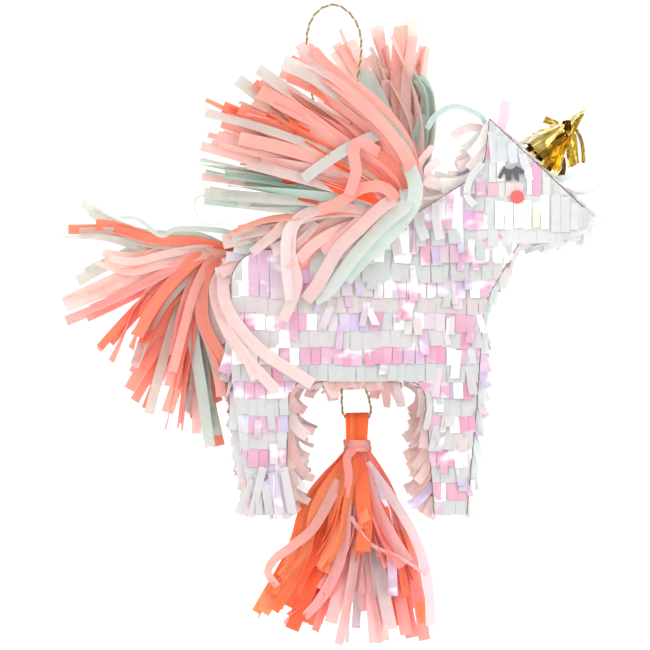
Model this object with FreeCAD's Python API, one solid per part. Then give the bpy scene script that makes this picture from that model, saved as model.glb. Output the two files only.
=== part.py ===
import FreeCAD, Part
import math
import os

# A small hanging pinata: a flat-sided unicorn of card, covered in rows of tissue and film fringe.
#
# Two die-cut side panels are joined by a rim of card bands. The belly is a trap door, hinged along the far
# panel, which a tassel pulls open. Fringe covers every outer face. Wings and a tail are gathered tissue fans,
# the horn is a foil-fringed card cone, and a twine loop through the back hangs the whole thing from a hook.
#
# Millimetres. +X runs from tail to muzzle, +Y from the near side to the far side, +Z is up. The origin is the
# point under the top of the hanging loop, where the hook bears.

V = FreeCAD.Vector
os.makedirs("parts", exist_ok=True)

# ---------------------------------------------------------------- driving dimensions
card = 1.0                # side panels, rim bands and trap door
body_width = 44.0         # over both side panels
fit_gap = 0.3             # between pieces that move past each other
side_fringe = 1.2         # fringe rows on a side panel
rim_fringe = 3.0          # fringe on the rim bands
mane_fringe = 8.0         # the mane stands higher
door_fringe = 0.8         # the door's fringe lies flat
row_pitch = 7.5           # from one fringe row to the next
paper = 0.3               # cut-paper features and tape
patch_size = 16.0         # card patch behind a twine hole
patch_thick = 0.8

twine_radius = 0.6
hang_hole_radius = 2.5
hang_exit = -106.0        # the loop's ends, just above the back band
hang_leg_gap = 0.9        # each leg of the loop from the centre of the hole

belly = -168.7            # outer face of the trap door
feet = -228.0
door_front = 31.0
door_rear = -9.0
anchor_z = belly - 1.0    # the tassel's twine swings here, just under the door
anchor_holes = (4.2, 13.6)
tassel_x = 11.0
tassel_top = -186.6       # the tassel swings on the twine here, inside its folded head

half = body_width / 2
inner_half = half - card

# Outline of a side panel, clockwise seen from the near side: name, x, z, corner radius. A radius of 0 is a
# sharp fold or a join between two bands.
outline = [
    ("ear_tip", 69.5, -52.5, 0),
    ("brow_join", 111.0, -91.7, 0),
    ("muzzle_top", 114.5, -95.0, 2.0),
    ("chin", 112.4, -103.2, 3.0),
    ("jaw", 99.0, -107.0, 20.0),
    ("throat", 82.5, -107.6, 0),
    ("chest", 66.8, -134.5, 30.0),
    ("elbow", 63.8, -178.0, 60.0),
    ("front_toe", 59.2, feet, 0),
    ("front_heel", 45.0, feet, 0),
    ("front_arch", 40.5, belly, 8.0),
    ("door_front", door_front, belly, 0),
    ("door_rear", door_rear, belly, 0),
    ("hind_arch", -19.6, belly, 8.0),
    ("hind_toe", -21.3, feet, 0),
    ("hind_heel", -36.0, feet, 0),
    ("hock", -41.4, -195.0, 50.0),
    ("haunch", -45.2, -165.0, 60.0),
    ("dock", -45.2, -130.0, 0),
    ("rump", -45.2, -111.0, 15.0),
    ("loin", -8.0, -110.4, 60.0),
    ("withers_join", 20.0, -101.0, 0),
    ("withers", 34.2, -96.23, 60.0),
    ("poll", 67.0, -75.4, 14.0),
]
index = {row[0]: i for i, row in enumerate(outline)}


# ---------------------------------------------------------------- outline geometry
def unit(a, b):
    """Direction from point a to point b in the XZ plane."""
    dx, dz = b[0] - a[0], b[1] - a[1]
    length = math.hypot(dx, dz)
    return dx / length, dz / length


def inward(direction):
    """The body lies to the right of a clockwise outline."""
    return direction[1], -direction[0]


def corner(i, inset):
    """The outline's corner i at an inset: (point,) if sharp, or (start, middle, end) of its arc."""
    count = len(outline)
    before, here, after = (outline[(i + k) % count][1:3] for k in (-1, 0, 1))
    radius = outline[i][3]
    u, v = unit(before, here), unit(here, after)
    nu, nv = inward(u), inward(v)
    turn = u[0] * v[1] - u[1] * v[0]
    spread = 1 + nu[0] * nv[0] + nu[1] * nv[1]

    def mitre(distance):
        return (
            here[0] + distance * (nu[0] + nv[0]) / spread,
            here[1] + distance * (nu[1] + nv[1]) / spread,
        )

    if radius == 0:
        return (mitre(inset),)
    side = -1 if turn < 0 else 1          # -1 on a convex corner
    centre = mitre(-side * radius)
    reach = radius + side * inset
    start = tuple(centre[k] + side * reach * nu[k] for k in (0, 1))
    end = tuple(centre[k] + side * reach * nv[k] for k in (0, 1))
    towards = unit(centre, here)
    middle = tuple(centre[k] + reach * towards[k] for k in (0, 1))
    return start, middle, end


def at(point, y=0.0):
    return V(point[0], y, point[1])


def path_edges(first, last, inset):
    """Edges of the outline from one named sharp corner to another, going clockwise."""
    edges = []
    i = index[first]
    place = corner(i, inset)[0]
    while True:
        i = (i + 1) % len(outline)
        found = corner(i, inset)
        edges.append(Part.LineSegment(at(place), at(found[0])).toShape())
        if len(found) == 3:
            edges.append(Part.Arc(at(found[0]), at(found[1]), at(found[2])).toShape())
        place = found[-1]
        if outline[i][0] == last:
            return edges


def slab(face, low, high):
    """A face in the XZ plane as a solid from y = low to y = high."""
    moved = face.copy()
    moved.translate(V(0, low, 0))
    return moved.extrude(V(0, high - low, 0))


def silhouette(inset, low, high):
    """The whole outline as a solid."""
    wire = Part.Wire(path_edges("ear_tip", "ear_tip", inset))
    return slab(Part.Face(wire), low, high)


def band(first, last, outside, inside, low, high):
    """A strip that follows the outline between two joins, from one inset to another."""
    out_path = path_edges(first, last, outside)
    in_path = path_edges(first, last, inside)
    start = Part.LineSegment(at(corner(index[first], inside)[0]), at(corner(index[first], outside)[0]))
    end = Part.LineSegment(at(corner(index[last], outside)[0]), at(corner(index[last], inside)[0]))
    edges = [start.toShape()] + out_path + [end.toShape()] + in_path[::-1]
    return slab(Part.Face(Part.Wire(Part.__sortEdges__(edges))), low, high)


def block(x0, x1, y0, y1, z0, z1):
    return Part.makeBox(x1 - x0, y1 - y0, z1 - z0, V(x0, y0, z0))


def rod(radius, start, end):
    axis = end - start
    return Part.makeCylinder(radius, axis.Length, start, axis)


def across(radius, centre, half_length):
    """A rod along Y, centred on the middle plane."""
    return rod(radius, V(centre[0], -half_length, centre[1]), V(centre[0], half_length, centre[1]))


def ellipse(x, z, rx, ry):
    """A level ellipse on the middle plane, with its longer radius along X."""
    return Part.Wire(Part.Ellipse(V(x, 0, z), rx, ry).toShape())


def mirrored(shape):
    """The same piece on the far side."""
    return shape.mirror(V(0, 0, 0), V(0, 1, 0))


def fan(root, start_deg, end_deg, inner, outer, low, high):
    """A fan of gathered tissue: a sector between two radii, as a slab from y = low to y = high."""
    def on(radius, degrees):
        turn = math.radians(degrees)
        return V(root[0] + radius * math.cos(turn), 0, root[1] + radius * math.sin(turn))

    middle = (start_deg + end_deg) / 2
    edges = [
        Part.LineSegment(on(inner, start_deg), on(outer, start_deg)).toShape(),
        Part.Arc(on(outer, start_deg), on(outer, middle), on(outer, end_deg)).toShape(),
        Part.LineSegment(on(outer, end_deg), on(inner, end_deg)).toShape(),
        Part.Arc(on(inner, end_deg), on(inner, middle), on(inner, start_deg)).toShape(),
    ]
    return slab(Part.Face(Part.Wire(edges)), low, high)


def twine(name, points):
    """A tube along straight runs joined by tangent arcs, each as large as its two runs allow."""
    spots = [V(*p) for p in points]
    edges = []
    radii = []
    place = spots[0]
    for before, here, after in zip(spots, spots[1:], spots[2:]):
        u, v = here - before, after - here
        shorter = min(u.Length, v.Length)
        turn = u.getAngle(v)
        cut = 0.45 * shorter
        radius = cut / math.tan(turn / 2)
        radii.append(round(radius, 1))
        u.normalize()
        v.normalize()
        start, end = here - u * cut, here + v * cut
        inward_bisector = v - u
        inward_bisector.normalize()
        centre = here + inward_bisector * (radius / math.cos(turn / 2))
        middle = centre - inward_bisector * radius
        edges.append(Part.LineSegment(place, start).toShape())
        edges.append(Part.Arc(start, middle, end).toShape())
        place = end
    edges.append(Part.LineSegment(place, spots[-1]).toShape())
    route = Part.Wire(edges)
    section = Part.Wire(Part.Circle(spots[0], spots[1] - spots[0], twine_radius).toShape())
    tube = route.makePipeShell([section], True, False)
    ratio = tube.Volume / (math.pi * twine_radius**2 * route.Length)
    print(name, "length", round(route.Length, 1), "radii", radii, "volume ratio", round(ratio, 4))
    return tube


def save(name, *solids):
    shape = solids[0] if len(solids) == 1 else Part.makeCompound(list(solids))
    shape.exportStep(f"parts/{name}.step")


# ---------------------------------------------------------------- card shell
def rim_bands():
    """The rim, one scored band to each side of the animal. The belly between the legs is the trap door."""
    joins = {
        "forehead_band": ("ear_tip", "brow_join"),
        "muzzle_band": ("brow_join", "throat"),
        "chest_band": ("throat", "front_toe"),
        "front_hoof_sole": ("front_toe", "front_heel"),
        "front_leg_inner_band": ("front_heel", "door_front"),
        "hind_leg_inner_band": ("door_rear", "hind_toe"),
        "hind_hoof_sole": ("hind_toe", "hind_heel"),
        "hind_leg_outer_band": ("hind_heel", "dock"),
        "back_band": ("dock", "withers_join"),
        "crest_band": ("withers_join", "ear_tip"),
    }
    for name, (first, last) in joins.items():
        strip = band(first, last, 0, card, -inner_half, inner_half)
        if name == "back_band":
            strip = strip.cut(rod(hang_hole_radius, V(0, 0, -120), V(0, 0, -95)))
        save(name, strip)


def hanger_patch():
    """Doubles the card round the twine hole, inside the back band."""
    size = patch_size / 2
    ring = band("dock", "withers_join", card, card + patch_thick, -size, size)
    patch = ring.common(block(-size, size, -size, size, -125, -95))
    save("hanger_patch", patch.cut(rod(hang_hole_radius, V(0, 0, -125), V(0, 0, -95))))


save("near_side_panel", silhouette(0, -half, -inner_half))
save("far_side_panel", silhouette(0, inner_half, half))
rim_bands()
hanger_patch()


# ---------------------------------------------------------------- gathered tissue: wings and tail
fringe_face = half + side_fringe   # outer face of the rows on a side panel
wing_root = (28.5, -99.0)
wing_gather_radius = 4.0
wing_gather_depth = 6.0
wing_start = 7.0           # a fan's strands spread from this far outside its root
wing_reach = 91.0
wing_spread = 64.0         # degrees between a fan's first and last strands
wing_thick = 6.0
wing_lean = 9.0            # degrees that each wing leans out from the body
near_wing_front = 104.0    # degrees up from +X to a fan's foremost strand
far_wing_front = 79.0
tail_root = (-47.5, -112.5)
tail_gather_radius = 4.5
tail_reach = 82.0
tail_half_width = 5.0


def near_wing(front):
    """A flat fan that rises from the panel's top edge and leans out."""
    inner_y = -fringe_face - fit_gap
    sheet = fan(wing_root, front, front + wing_spread, wing_start, wing_reach, inner_y - wing_thick, inner_y)
    sheet.rotate(V(0, inner_y, wing_root[1]), V(1, 0, 0), wing_lean)
    return sheet


def near_wing_gather():
    """The taped gather that holds a fan's root on the panel."""
    start = V(wing_root[0], -fringe_face, wing_root[1])
    return rod(wing_gather_radius, start, start - V(0, wing_gather_depth, 0))


def tail():
    """A fan that hangs behind the rump, and the knotted gather at its root."""
    width = tail_half_width
    tissue = fan(tail_root, 165, 272, tail_gather_radius + 0.5, tail_reach, -width, width)
    save("tail_tissue", tissue.cut(silhouette(-rim_fringe - fit_gap, -half, half)))
    gather = across(tail_gather_radius, tail_root, width)
    save("tail_gather", gather.cut(silhouette(0, -half, half)))


save("near_wing_tissue", near_wing(near_wing_front))
save("near_wing_gather", near_wing_gather())
save("far_wing_tissue", mirrored(near_wing(far_wing_front)))
save("far_wing_gather", mirrored(near_wing_gather()))
tail()


# ---------------------------------------------------------------- horn
horn_root = V(92.8, 0, -74.6)      # on the brow, at the middle of the cone's base
horn_tip = V(113.4, 0, -46.8)
horn_base_radius = 6.4
horn_tip_radius = 1.0
horn_wall = 0.6
horn_foil = 1.2
horn_sink = 9.0                    # the cone is made longer, then trimmed to the sloping brow


def horn_shell(outside, wall, share):
    """A hollow cone about the horn, thicker than it by a distance, over a share of its length."""
    direction = horn_tip - horn_root
    length = direction.Length
    direction.normalize()
    slope = (horn_base_radius - horn_tip_radius) / length
    wide = horn_base_radius + slope * horn_sink + outside
    narrow = horn_base_radius - slope * length * share + outside
    start = horn_root - direction * horn_sink
    shell = Part.makeCone(wide, narrow, horn_sink + length * share, start, direction)
    core = Part.makeCone(wide - wall, narrow - wall, horn_sink + length * share, start, direction)
    return shell.cut(core).cut(silhouette(0, -half, half))


save("horn_cone", horn_shell(0, horn_wall, 0.94))
save("horn_foil_fringe", horn_shell(horn_foil, horn_foil - 0.02, 0.9))


# ---------------------------------------------------------------- fringe
row_gap = 0.15             # between one row's strips and the next row's
row_inset = 0.3            # the rows stop short of the panel's edge


def side_rows(low, high):
    """Level rows of fringe over one side panel, from the ear down to the hooves."""
    sheet = silhouette(row_inset, low, high)
    top = outline[index["ear_tip"]][2]
    rows = []
    for i in range(math.ceil((top - feet) / row_pitch)):
        z = top - i * row_pitch
        rows += sheet.common(block(-60, 130, low, high, z - row_pitch + row_gap, z)).Solids
    return rows


def rim_fringes():
    """Fringe glued round the rim, one length to each band, with windows for the horn, tail and twine."""
    lengths = {
        "forehead_fringe": ("ear_tip", "brow_join", rim_fringe),
        "muzzle_fringe": ("brow_join", "throat", rim_fringe),
        "chest_fringe": ("throat", "front_toe", rim_fringe),
        "front_leg_inner_fringe": ("front_heel", "door_front", rim_fringe),
        "hind_leg_inner_fringe": ("door_rear", "hind_toe", rim_fringe),
        "hind_leg_outer_fringe": ("hind_heel", "dock", rim_fringe),
        "back_fringe": ("dock", "withers_join", rim_fringe),
        "mane_fringe": ("withers_join", "ear_tip", mane_fringe),
    }
    horn_window = rod(horn_base_radius + horn_foil + 2.2, horn_root - (horn_tip - horn_root) * 0.3, horn_tip)
    tail_window = across(tail_gather_radius + 0.7, tail_root, tail_half_width + 1)
    loop_window = rod(5.5, V(0, 0, -120), V(0, 0, -90))
    body = silhouette(0, -half, half)
    muzzle = band("brow_join", "throat", -rim_fringe - row_gap, 0, -half, half)
    windows = {
        "forehead_fringe": [horn_window],
        "back_fringe": [tail_window, loop_window],
        "hind_leg_outer_fringe": [tail_window],
        "chest_fringe": [muzzle],
    }
    for name, (first, last, thick) in lengths.items():
        skin = band(first, last, -thick, -0.05, -inner_half, inner_half).cut(body)
        for window in windows.get(name, []):
            skin = skin.cut(window)
        save(name, *skin.Solids)


save("near_side_fringe", *side_rows(-fringe_face, -half))
save("far_side_fringe", *side_rows(half, fringe_face))
rim_fringes()


# ---------------------------------------------------------------- face, the same on both sides
eye_centre = (78.4, -71.9)
lid_inner, lid_outer = 3.2, 5.4
lash_reach = 8.5
lash_width = 2.1
lash_angles = (234, 265, 293, 324)
cheek_centre = (81.6, -87.2)
cheek_radius = 3.0


def eyelash():
    """A closed lid, curving down, with four blunt lashes, in one piece of cut paper."""
    low, high = -fringe_face - paper, -fringe_face
    lid = fan(eye_centre, 213, 330, lid_inner, lid_outer, low, high)
    lashes = []
    for angle in lash_angles:
        lash = block(lid_inner + 0.8, lash_reach, low, high, -lash_width / 2, lash_width / 2)
        lash.rotate(V(0, 0, 0), V(0, 1, 0), -angle)
        lash.translate(V(eye_centre[0], 0, eye_centre[1]))
        lashes.append(lash)
    return lid.multiFuse(lashes).removeSplitter()


def cheek():
    centre = V(cheek_centre[0], -fringe_face, cheek_centre[1])
    return rod(cheek_radius, centre, centre - V(0, paper, 0))


save("near_eyelash", eyelash())
save("far_eyelash", mirrored(eyelash()))
save("near_cheek_dot", cheek())
save("far_cheek_dot", mirrored(cheek()))


# ---------------------------------------------------------------- trap door
hinge_side = inner_half - 0.15     # the door's far edge, where its tape folds
free_side = -inner_half + fit_gap
anchor_x = sum(anchor_holes) / 2
knot_seat = belly + card + patch_thick


def door_plate(low, high, end_gap):
    """A level plate under the belly between the two leg arches."""
    return block(door_rear + end_gap, door_front - end_gap, free_side, hinge_side, low, high)


def trap_door():
    """The scored card leaf, its flat fringe, and the patch that backs the twine's two holes."""
    holes = [rod(twine_radius + 0.1, V(x, 0, belly - 5), V(x, 0, belly + 6)) for x in anchor_holes]
    window = block(anchor_holes[0] - 3, anchor_holes[1] + 3, -4, 4, belly - door_fringe, belly)
    patch = block(anchor_x - 9, anchor_x + 9, -6, 6, belly + card, knot_seat)
    save("belly_door", door_plate(belly, belly + card, fit_gap).cut(holes))
    save("belly_door_fringe", door_plate(belly - door_fringe, belly, 1.0).cut(window))
    save("belly_door_patch", patch.cut(holes))


def twine_knots():
    """Each end of the tassel's twine passes up through the door and is knotted on the patch."""
    ends = []
    for x in anchor_holes:
        stub = rod(twine_radius, V(x, 0, belly - 0.1), V(x, 0, knot_seat + 1))
        ball = Part.makeSphere(1.8, V(x, 0, knot_seat + 1.5))
        ball = ball.cut(block(x - 5, x + 5, -5, 5, knot_seat - 3, knot_seat))
        ends.append(stub.fuse(ball))
    save("tassel_twine_knots", *ends)


def hinge_tapes():
    """Paper tape along the far edge: one half on the far panel, the other on the door."""
    reach = 7.0
    x0, x1 = door_rear + 1, door_front - 1
    upper = block(x0, x1, inner_half - paper, inner_half, belly + card + 1.5, belly + reach)
    lower = block(x0, x1, hinge_side - reach, hinge_side - 1.5, belly + card, belly + card + paper)
    save("hinge_tape_upper", upper)
    save("hinge_tape_lower", lower)


trap_door()
twine_knots()
hinge_tapes()


# ---------------------------------------------------------------- twine
hanging_route = [
    (-hang_leg_gap, 0, hang_exit),
    (-12.1, 0, -17.5),
    (-11.2, 0, -8.4),
    (-6.6, 0, -1.2),
    (1.2, 0, 1.6),
    (8.4, 0, -3.4),
    (12.3, 0, -10.8),
    (13.0, 0, -19.6),
    (hang_leg_gap, 0, hang_exit),
]
tassel_route = [
    (anchor_holes[0], 0, anchor_z),
    (3.7, 0, -178.4),
    (4.8, 0, -187.0),
    (17.2, 0, -187.0),
    (17.1, 0, -178.3),
    (anchor_holes[1], 0, anchor_z),
]


def hanging_knot():
    """Both ends of the loop pass down the hole and are tied in one knot under the patch."""
    centre = hang_exit - 7.2
    knot = Part.makeSphere(2.8, V(0, 0, centre))
    for x in (-hang_leg_gap, hang_leg_gap):
        knot = knot.fuse(rod(twine_radius, V(x, 0, centre), V(x, 0, hang_exit)))
    return knot


save("hanging_loop", twine("hanging_loop", hanging_route).cut(block(-5, 5, -5, 5, hang_exit - 5, hang_exit)))
save("hanging_knot", hanging_knot())
save("tassel_twine_loop", twine("tassel_twine_loop", tassel_route))


# ---------------------------------------------------------------- tassel
head_width = 9.6
head_radius = 3.0
channel_radius = 2.0       # the twine turns freely in the fold
neck_z = -196.0
skirt_z = -200.5
tassel_foot = -287.5


def tassel():
    """Sheets folded over the twine, bound by a tie, and cut into strands below it."""
    x0, x1 = tassel_x - head_width / 2, tassel_x + head_width / 2
    top = rod(head_radius, V(x0, 0, tassel_top), V(x1, 0, tassel_top))
    fold = block(x0, x1, -head_radius, head_radius, neck_z, tassel_top)
    channel = rod(channel_radius, V(x0, 0, tassel_top), V(x1, 0, tassel_top))
    neck = Part.makeLoft([ellipse(tassel_x, neck_z, 4.6, 2.9), ellipse(tassel_x, skirt_z, 4.6, 2.9)], True)
    save("tassel_head", top.fuse(fold).cut(channel).fuse(neck).removeSplitter())

    tie_bottom, tie_top = skirt_z + 0.1, neck_z - 0.1
    tie = Part.makeLoft([
        ellipse(tassel_x, tie_bottom, 5.9, 4.2),
        ellipse(tassel_x, (tie_bottom + tie_top) / 2, 6.3, 4.6),
        ellipse(tassel_x, tie_top, 5.9, 4.2),
    ], True)
    save("tassel_tie", tie.cut(neck))

    skirt = Part.makeLoft([
        ellipse(tassel_x, skirt_z, 5.8, 4.2),
        ellipse(tassel_x - 1, skirt_z - 26, 14.0, 8.0),
        ellipse(tassel_x - 3, tassel_foot, 34.0, 16.0),
    ], True)
    save("tassel_skirt", skirt)


tassel()
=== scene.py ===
import math
import random
import bpy
import numpy as np
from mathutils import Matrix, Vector, noise


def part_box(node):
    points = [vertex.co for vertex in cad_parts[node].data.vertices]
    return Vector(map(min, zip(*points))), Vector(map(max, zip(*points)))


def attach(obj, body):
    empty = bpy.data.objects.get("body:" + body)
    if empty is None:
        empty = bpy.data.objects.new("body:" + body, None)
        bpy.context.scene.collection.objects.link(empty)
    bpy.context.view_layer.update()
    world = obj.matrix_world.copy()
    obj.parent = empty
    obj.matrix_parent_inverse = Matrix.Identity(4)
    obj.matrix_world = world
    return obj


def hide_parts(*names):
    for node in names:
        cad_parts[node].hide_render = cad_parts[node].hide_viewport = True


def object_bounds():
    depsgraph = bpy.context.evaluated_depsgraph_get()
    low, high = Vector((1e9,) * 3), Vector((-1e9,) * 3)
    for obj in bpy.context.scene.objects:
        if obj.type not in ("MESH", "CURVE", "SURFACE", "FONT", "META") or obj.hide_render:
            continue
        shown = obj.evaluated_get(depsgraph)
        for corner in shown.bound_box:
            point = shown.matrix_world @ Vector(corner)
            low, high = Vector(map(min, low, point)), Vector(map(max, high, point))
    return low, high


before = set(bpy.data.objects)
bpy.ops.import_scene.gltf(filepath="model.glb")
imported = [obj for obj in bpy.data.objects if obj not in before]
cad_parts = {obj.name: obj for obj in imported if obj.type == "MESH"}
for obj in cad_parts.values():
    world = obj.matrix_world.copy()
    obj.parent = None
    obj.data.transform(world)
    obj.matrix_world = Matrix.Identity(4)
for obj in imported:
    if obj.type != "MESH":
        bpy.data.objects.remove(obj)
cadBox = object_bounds()
mm = 0.001
scene = bpy.context.scene
print("frame loaded")


# camera, level with the middle of the pinata and square to its near side
view = {"across": 0.2886, "middle": (-0.0036, -0.1439), "distance": 1.3, "sensor": 36.0}
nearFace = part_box("near_side_panel")[0][1]
cameraData = bpy.data.cameras.new("studioCamera")
cameraData.sensor_width = view["sensor"]
cameraData.lens = view["sensor"] * view["distance"] / view["across"]
camera = bpy.data.objects.new("studioCamera", cameraData)
camera.location = (view["middle"][0], nearFace - view["distance"], view["middle"][1])
camera.rotation_euler = (math.radians(90), 0, 0)
scene.collection.objects.link(camera)
scene.camera = camera
scene.view_settings.view_transform = "Standard"


# soft studio light: a pale room, one large key from the upper left and a fill from the right
lights = {
    "key": {"place": (-0.7, -1.1, 0.75), "size": 1.0, "power": 5.6},
    "fill": {"place": (0.95, -0.9, 0.0), "size": 0.8, "power": 4.6},
    "top": {"place": (0.2, 0.5, 0.9), "size": 0.9, "power": 8.0},
}
room = {"seen": 1.08, "bright": 1.02, "dim": 0.72}


def hangLight(name, facts):
    lamp = bpy.data.lights.new(name, "AREA")
    lamp.size = facts["size"]
    lamp.energy = facts["power"]
    holder = bpy.data.objects.new(name, lamp)
    holder.location = facts["place"]
    towards = Vector((0, 0, view["middle"][1])) - Vector(facts["place"])
    holder.rotation_euler = towards.to_track_quat("-Z", "Y").to_euler()
    scene.collection.objects.link(holder)


def paintRoom():
    world = bpy.data.worlds.new("studioRoom")
    scene.world = world
    world.use_nodes = True
    nodes, links = world.node_tree.nodes, world.node_tree.links
    nodes.clear()
    out = nodes.new("ShaderNodeOutputWorld")
    lit = nodes.new("ShaderNodeBackground")
    seen = nodes.new("ShaderNodeBackground")
    seen.inputs["Strength"].default_value = room["seen"]
    seen.inputs["Color"].default_value = (1, 1, 1, 1)
    lit.inputs["Color"].default_value = (1, 1, 1, 1)
    place = nodes.new("ShaderNodeTexCoord")
    split = nodes.new("ShaderNodeSeparateXYZ")
    ramp = nodes.new("ShaderNodeMapRange")
    ramp.inputs["From Min"].default_value = -0.6
    ramp.inputs["From Max"].default_value = 0.7
    ramp.inputs["To Min"].default_value = room["dim"]
    ramp.inputs["To Max"].default_value = room["bright"]
    ray = nodes.new("ShaderNodeLightPath")
    pick = nodes.new("ShaderNodeMixShader")
    links.new(place.outputs["Generated"], split.inputs[0])
    links.new(split.outputs["Z"], ramp.inputs["Value"])
    links.new(ramp.outputs["Result"], lit.inputs["Strength"])
    links.new(ray.outputs["Is Camera Ray"], pick.inputs[0])
    links.new(lit.outputs[0], pick.inputs[1])
    links.new(seen.outputs[0], pick.inputs[2])
    links.new(pick.outputs[0], out.inputs[0])


for lightName, lightFacts in lights.items():
    hangLight(lightName, lightFacts)
paintRoom()
print("camera and lights set")


# finishes
def srgb(code):
    parts = [int(code[i:i + 2], 16) / 255 for i in (0, 2, 4)]
    return tuple(p / 12.92 if p <= 0.04045 else ((p + 0.055) / 1.055) ** 2.4 for p in parts)


def newFinish(name):
    finish = bpy.data.materials.new(name)
    finish.use_nodes = True
    nodes = finish.node_tree.nodes
    shader = nodes["Principled BSDF"]
    return finish, nodes, finish.node_tree.links, shader


def speckle(nodes, scale, detail):
    grain = nodes.new("ShaderNodeTexNoise")
    grain.inputs["Scale"].default_value = scale
    grain.inputs["Detail"].default_value = detail
    return grain


def levels(nodes, source, target):
    # turns one range of values into another
    ramp = nodes.new("ShaderNodeMapRange")
    ramp.inputs["From Min"].default_value, ramp.inputs["From Max"].default_value = source
    ramp.inputs["To Min"].default_value, ramp.inputs["To Max"].default_value = target
    return ramp


def paintedColour(nodes, links, scale, low, high):
    # each strip carries its own colour, and a fine mottle moves it lighter and darker
    paint = nodes.new("ShaderNodeAttribute")
    paint.attribute_name = "paint"
    place = nodes.new("ShaderNodeTexCoord")
    mottle = speckle(nodes, scale, 4.0)
    links.new(place.outputs["Object"], mottle.inputs["Vector"])
    level = levels(nodes, (0.3, 0.7), (low, high))
    links.new(mottle.outputs["Fac"], level.inputs["Value"])
    shade = nodes.new("ShaderNodeMix")
    shade.data_type = "RGBA"
    shade.blend_type = "MULTIPLY"
    shade.inputs["Factor"].default_value = 1.0
    links.new(paint.outputs["Color"], shade.inputs["A"])
    links.new(level.outputs["Result"], shade.inputs["B"])
    return place, shade.outputs["Result"]


def addBump(nodes, links, place, shader, scale, strength, depth, stretch=(1, 1, 1)):
    spread = nodes.new("ShaderNodeMapping")
    spread.inputs["Scale"].default_value = stretch
    grain = speckle(nodes, scale, 6.0)
    bump = nodes.new("ShaderNodeBump")
    bump.inputs["Strength"].default_value = strength
    bump.inputs["Distance"].default_value = depth
    links.new(place.outputs["Object"], spread.inputs["Vector"])
    links.new(spread.outputs["Vector"], grain.inputs["Vector"])
    links.new(grain.outputs["Fac"], bump.inputs["Height"])
    links.new(bump.outputs["Normal"], shader.inputs["Normal"])


tissueLook = {"rough": 0.82, "glow": 0.58, "rowGlow": 0.25, "crinkle": 520.0, "crinkleDepth": 0.0004}
filmLook = {"rough": 0.16, "coat": 0.5, "filmThickness": 340.0, "filmIndex": 1.5, "ripple": 160.0,
            "glare": 0.7, "glareScale": 58.0}
foilLook = {"rough": 0.13, "crease": 110.0, "creaseDepth": 0.0009}


def tissueFinish(name, see):
    finish, nodes, links, shader = newFinish(name)
    place, colour = paintedColour(nodes, links, 260.0, 0.965, 1.02)
    shader.inputs["Roughness"].default_value = tissueLook["rough"]
    shader.inputs["Specular IOR Level"].default_value = 0.25
    links.new(colour, shader.inputs["Base Color"])
    addBump(nodes, links, place, shader, tissueLook["crinkle"], 0.35, tissueLook["crinkleDepth"],
            (1, 1, 0.45))
    glow = nodes.new("ShaderNodeBsdfTranslucent")
    links.new(colour, glow.inputs["Color"])
    blend = nodes.new("ShaderNodeMixShader")
    blend.inputs[0].default_value = see
    links.new(shader.outputs[0], blend.inputs[1])
    links.new(glow.outputs[0], blend.inputs[2])
    links.new(blend.outputs[0], nodes["Material Output"].inputs["Surface"])
    return finish


def addGlare(nodes, links, place, colour):
    # soft pale patches, wider than one strip, where the film catches the light
    spread = nodes.new("ShaderNodeMapping")
    spread.inputs["Scale"].default_value = (1.0, 1.0, 1.8)
    patch = speckle(nodes, filmLook["glareScale"], 2.0)
    level = levels(nodes, (0.55, 0.66), (0.0, filmLook["glare"]))
    blend = nodes.new("ShaderNodeMix")
    blend.data_type = "RGBA"
    blend.inputs["B"].default_value = (0.93, 0.96, 0.97, 1)
    links.new(place.outputs["Object"], spread.inputs["Vector"])
    links.new(spread.outputs["Vector"], patch.inputs["Vector"])
    links.new(patch.outputs["Fac"], level.inputs["Value"])
    links.new(level.outputs["Result"], blend.inputs["Factor"])
    links.new(colour, blend.inputs["A"])
    return blend.outputs["Result"]


def filmFinish():
    finish, nodes, links, shader = newFinish("iridescentFilm")
    place, colour = paintedColour(nodes, links, 120.0, 0.86, 0.99)
    shader.inputs["Roughness"].default_value = filmLook["rough"]
    shader.inputs["Coat Weight"].default_value = filmLook["coat"]
    shader.inputs["Coat Roughness"].default_value = 0.04
    shader.inputs["Thin Film Thickness"].default_value = filmLook["filmThickness"]
    shader.inputs["Thin Film IOR"].default_value = filmLook["filmIndex"]
    colour = addGlare(nodes, links, place, colour)
    links.new(colour, shader.inputs["Base Color"])
    addBump(nodes, links, place, shader, filmLook["ripple"], 0.5, 0.0006)
    return finish


def foilFinish():
    finish, nodes, links, shader = newFinish("goldFoil")
    place, colour = paintedColour(nodes, links, 300.0, 0.55, 1.15)
    shader.inputs["Metallic"].default_value = 1.0
    shader.inputs["Roughness"].default_value = foilLook["rough"]
    links.new(colour, shader.inputs["Base Color"])
    addBump(nodes, links, place, shader, foilLook["crease"], 0.4, foilLook["creaseDepth"])
    return finish


def twineFinish():
    finish, nodes, links, shader = newFinish("cottonTwine")
    place, colour = paintedColour(nodes, links, 2400.0, 0.72, 1.08)
    shader.inputs["Roughness"].default_value = 0.9
    shader.inputs["Specular IOR Level"].default_value = 0.2
    links.new(colour, shader.inputs["Base Color"])
    addBump(nodes, links, place, shader, 5200.0, 0.6, 0.00012)
    return finish


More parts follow.
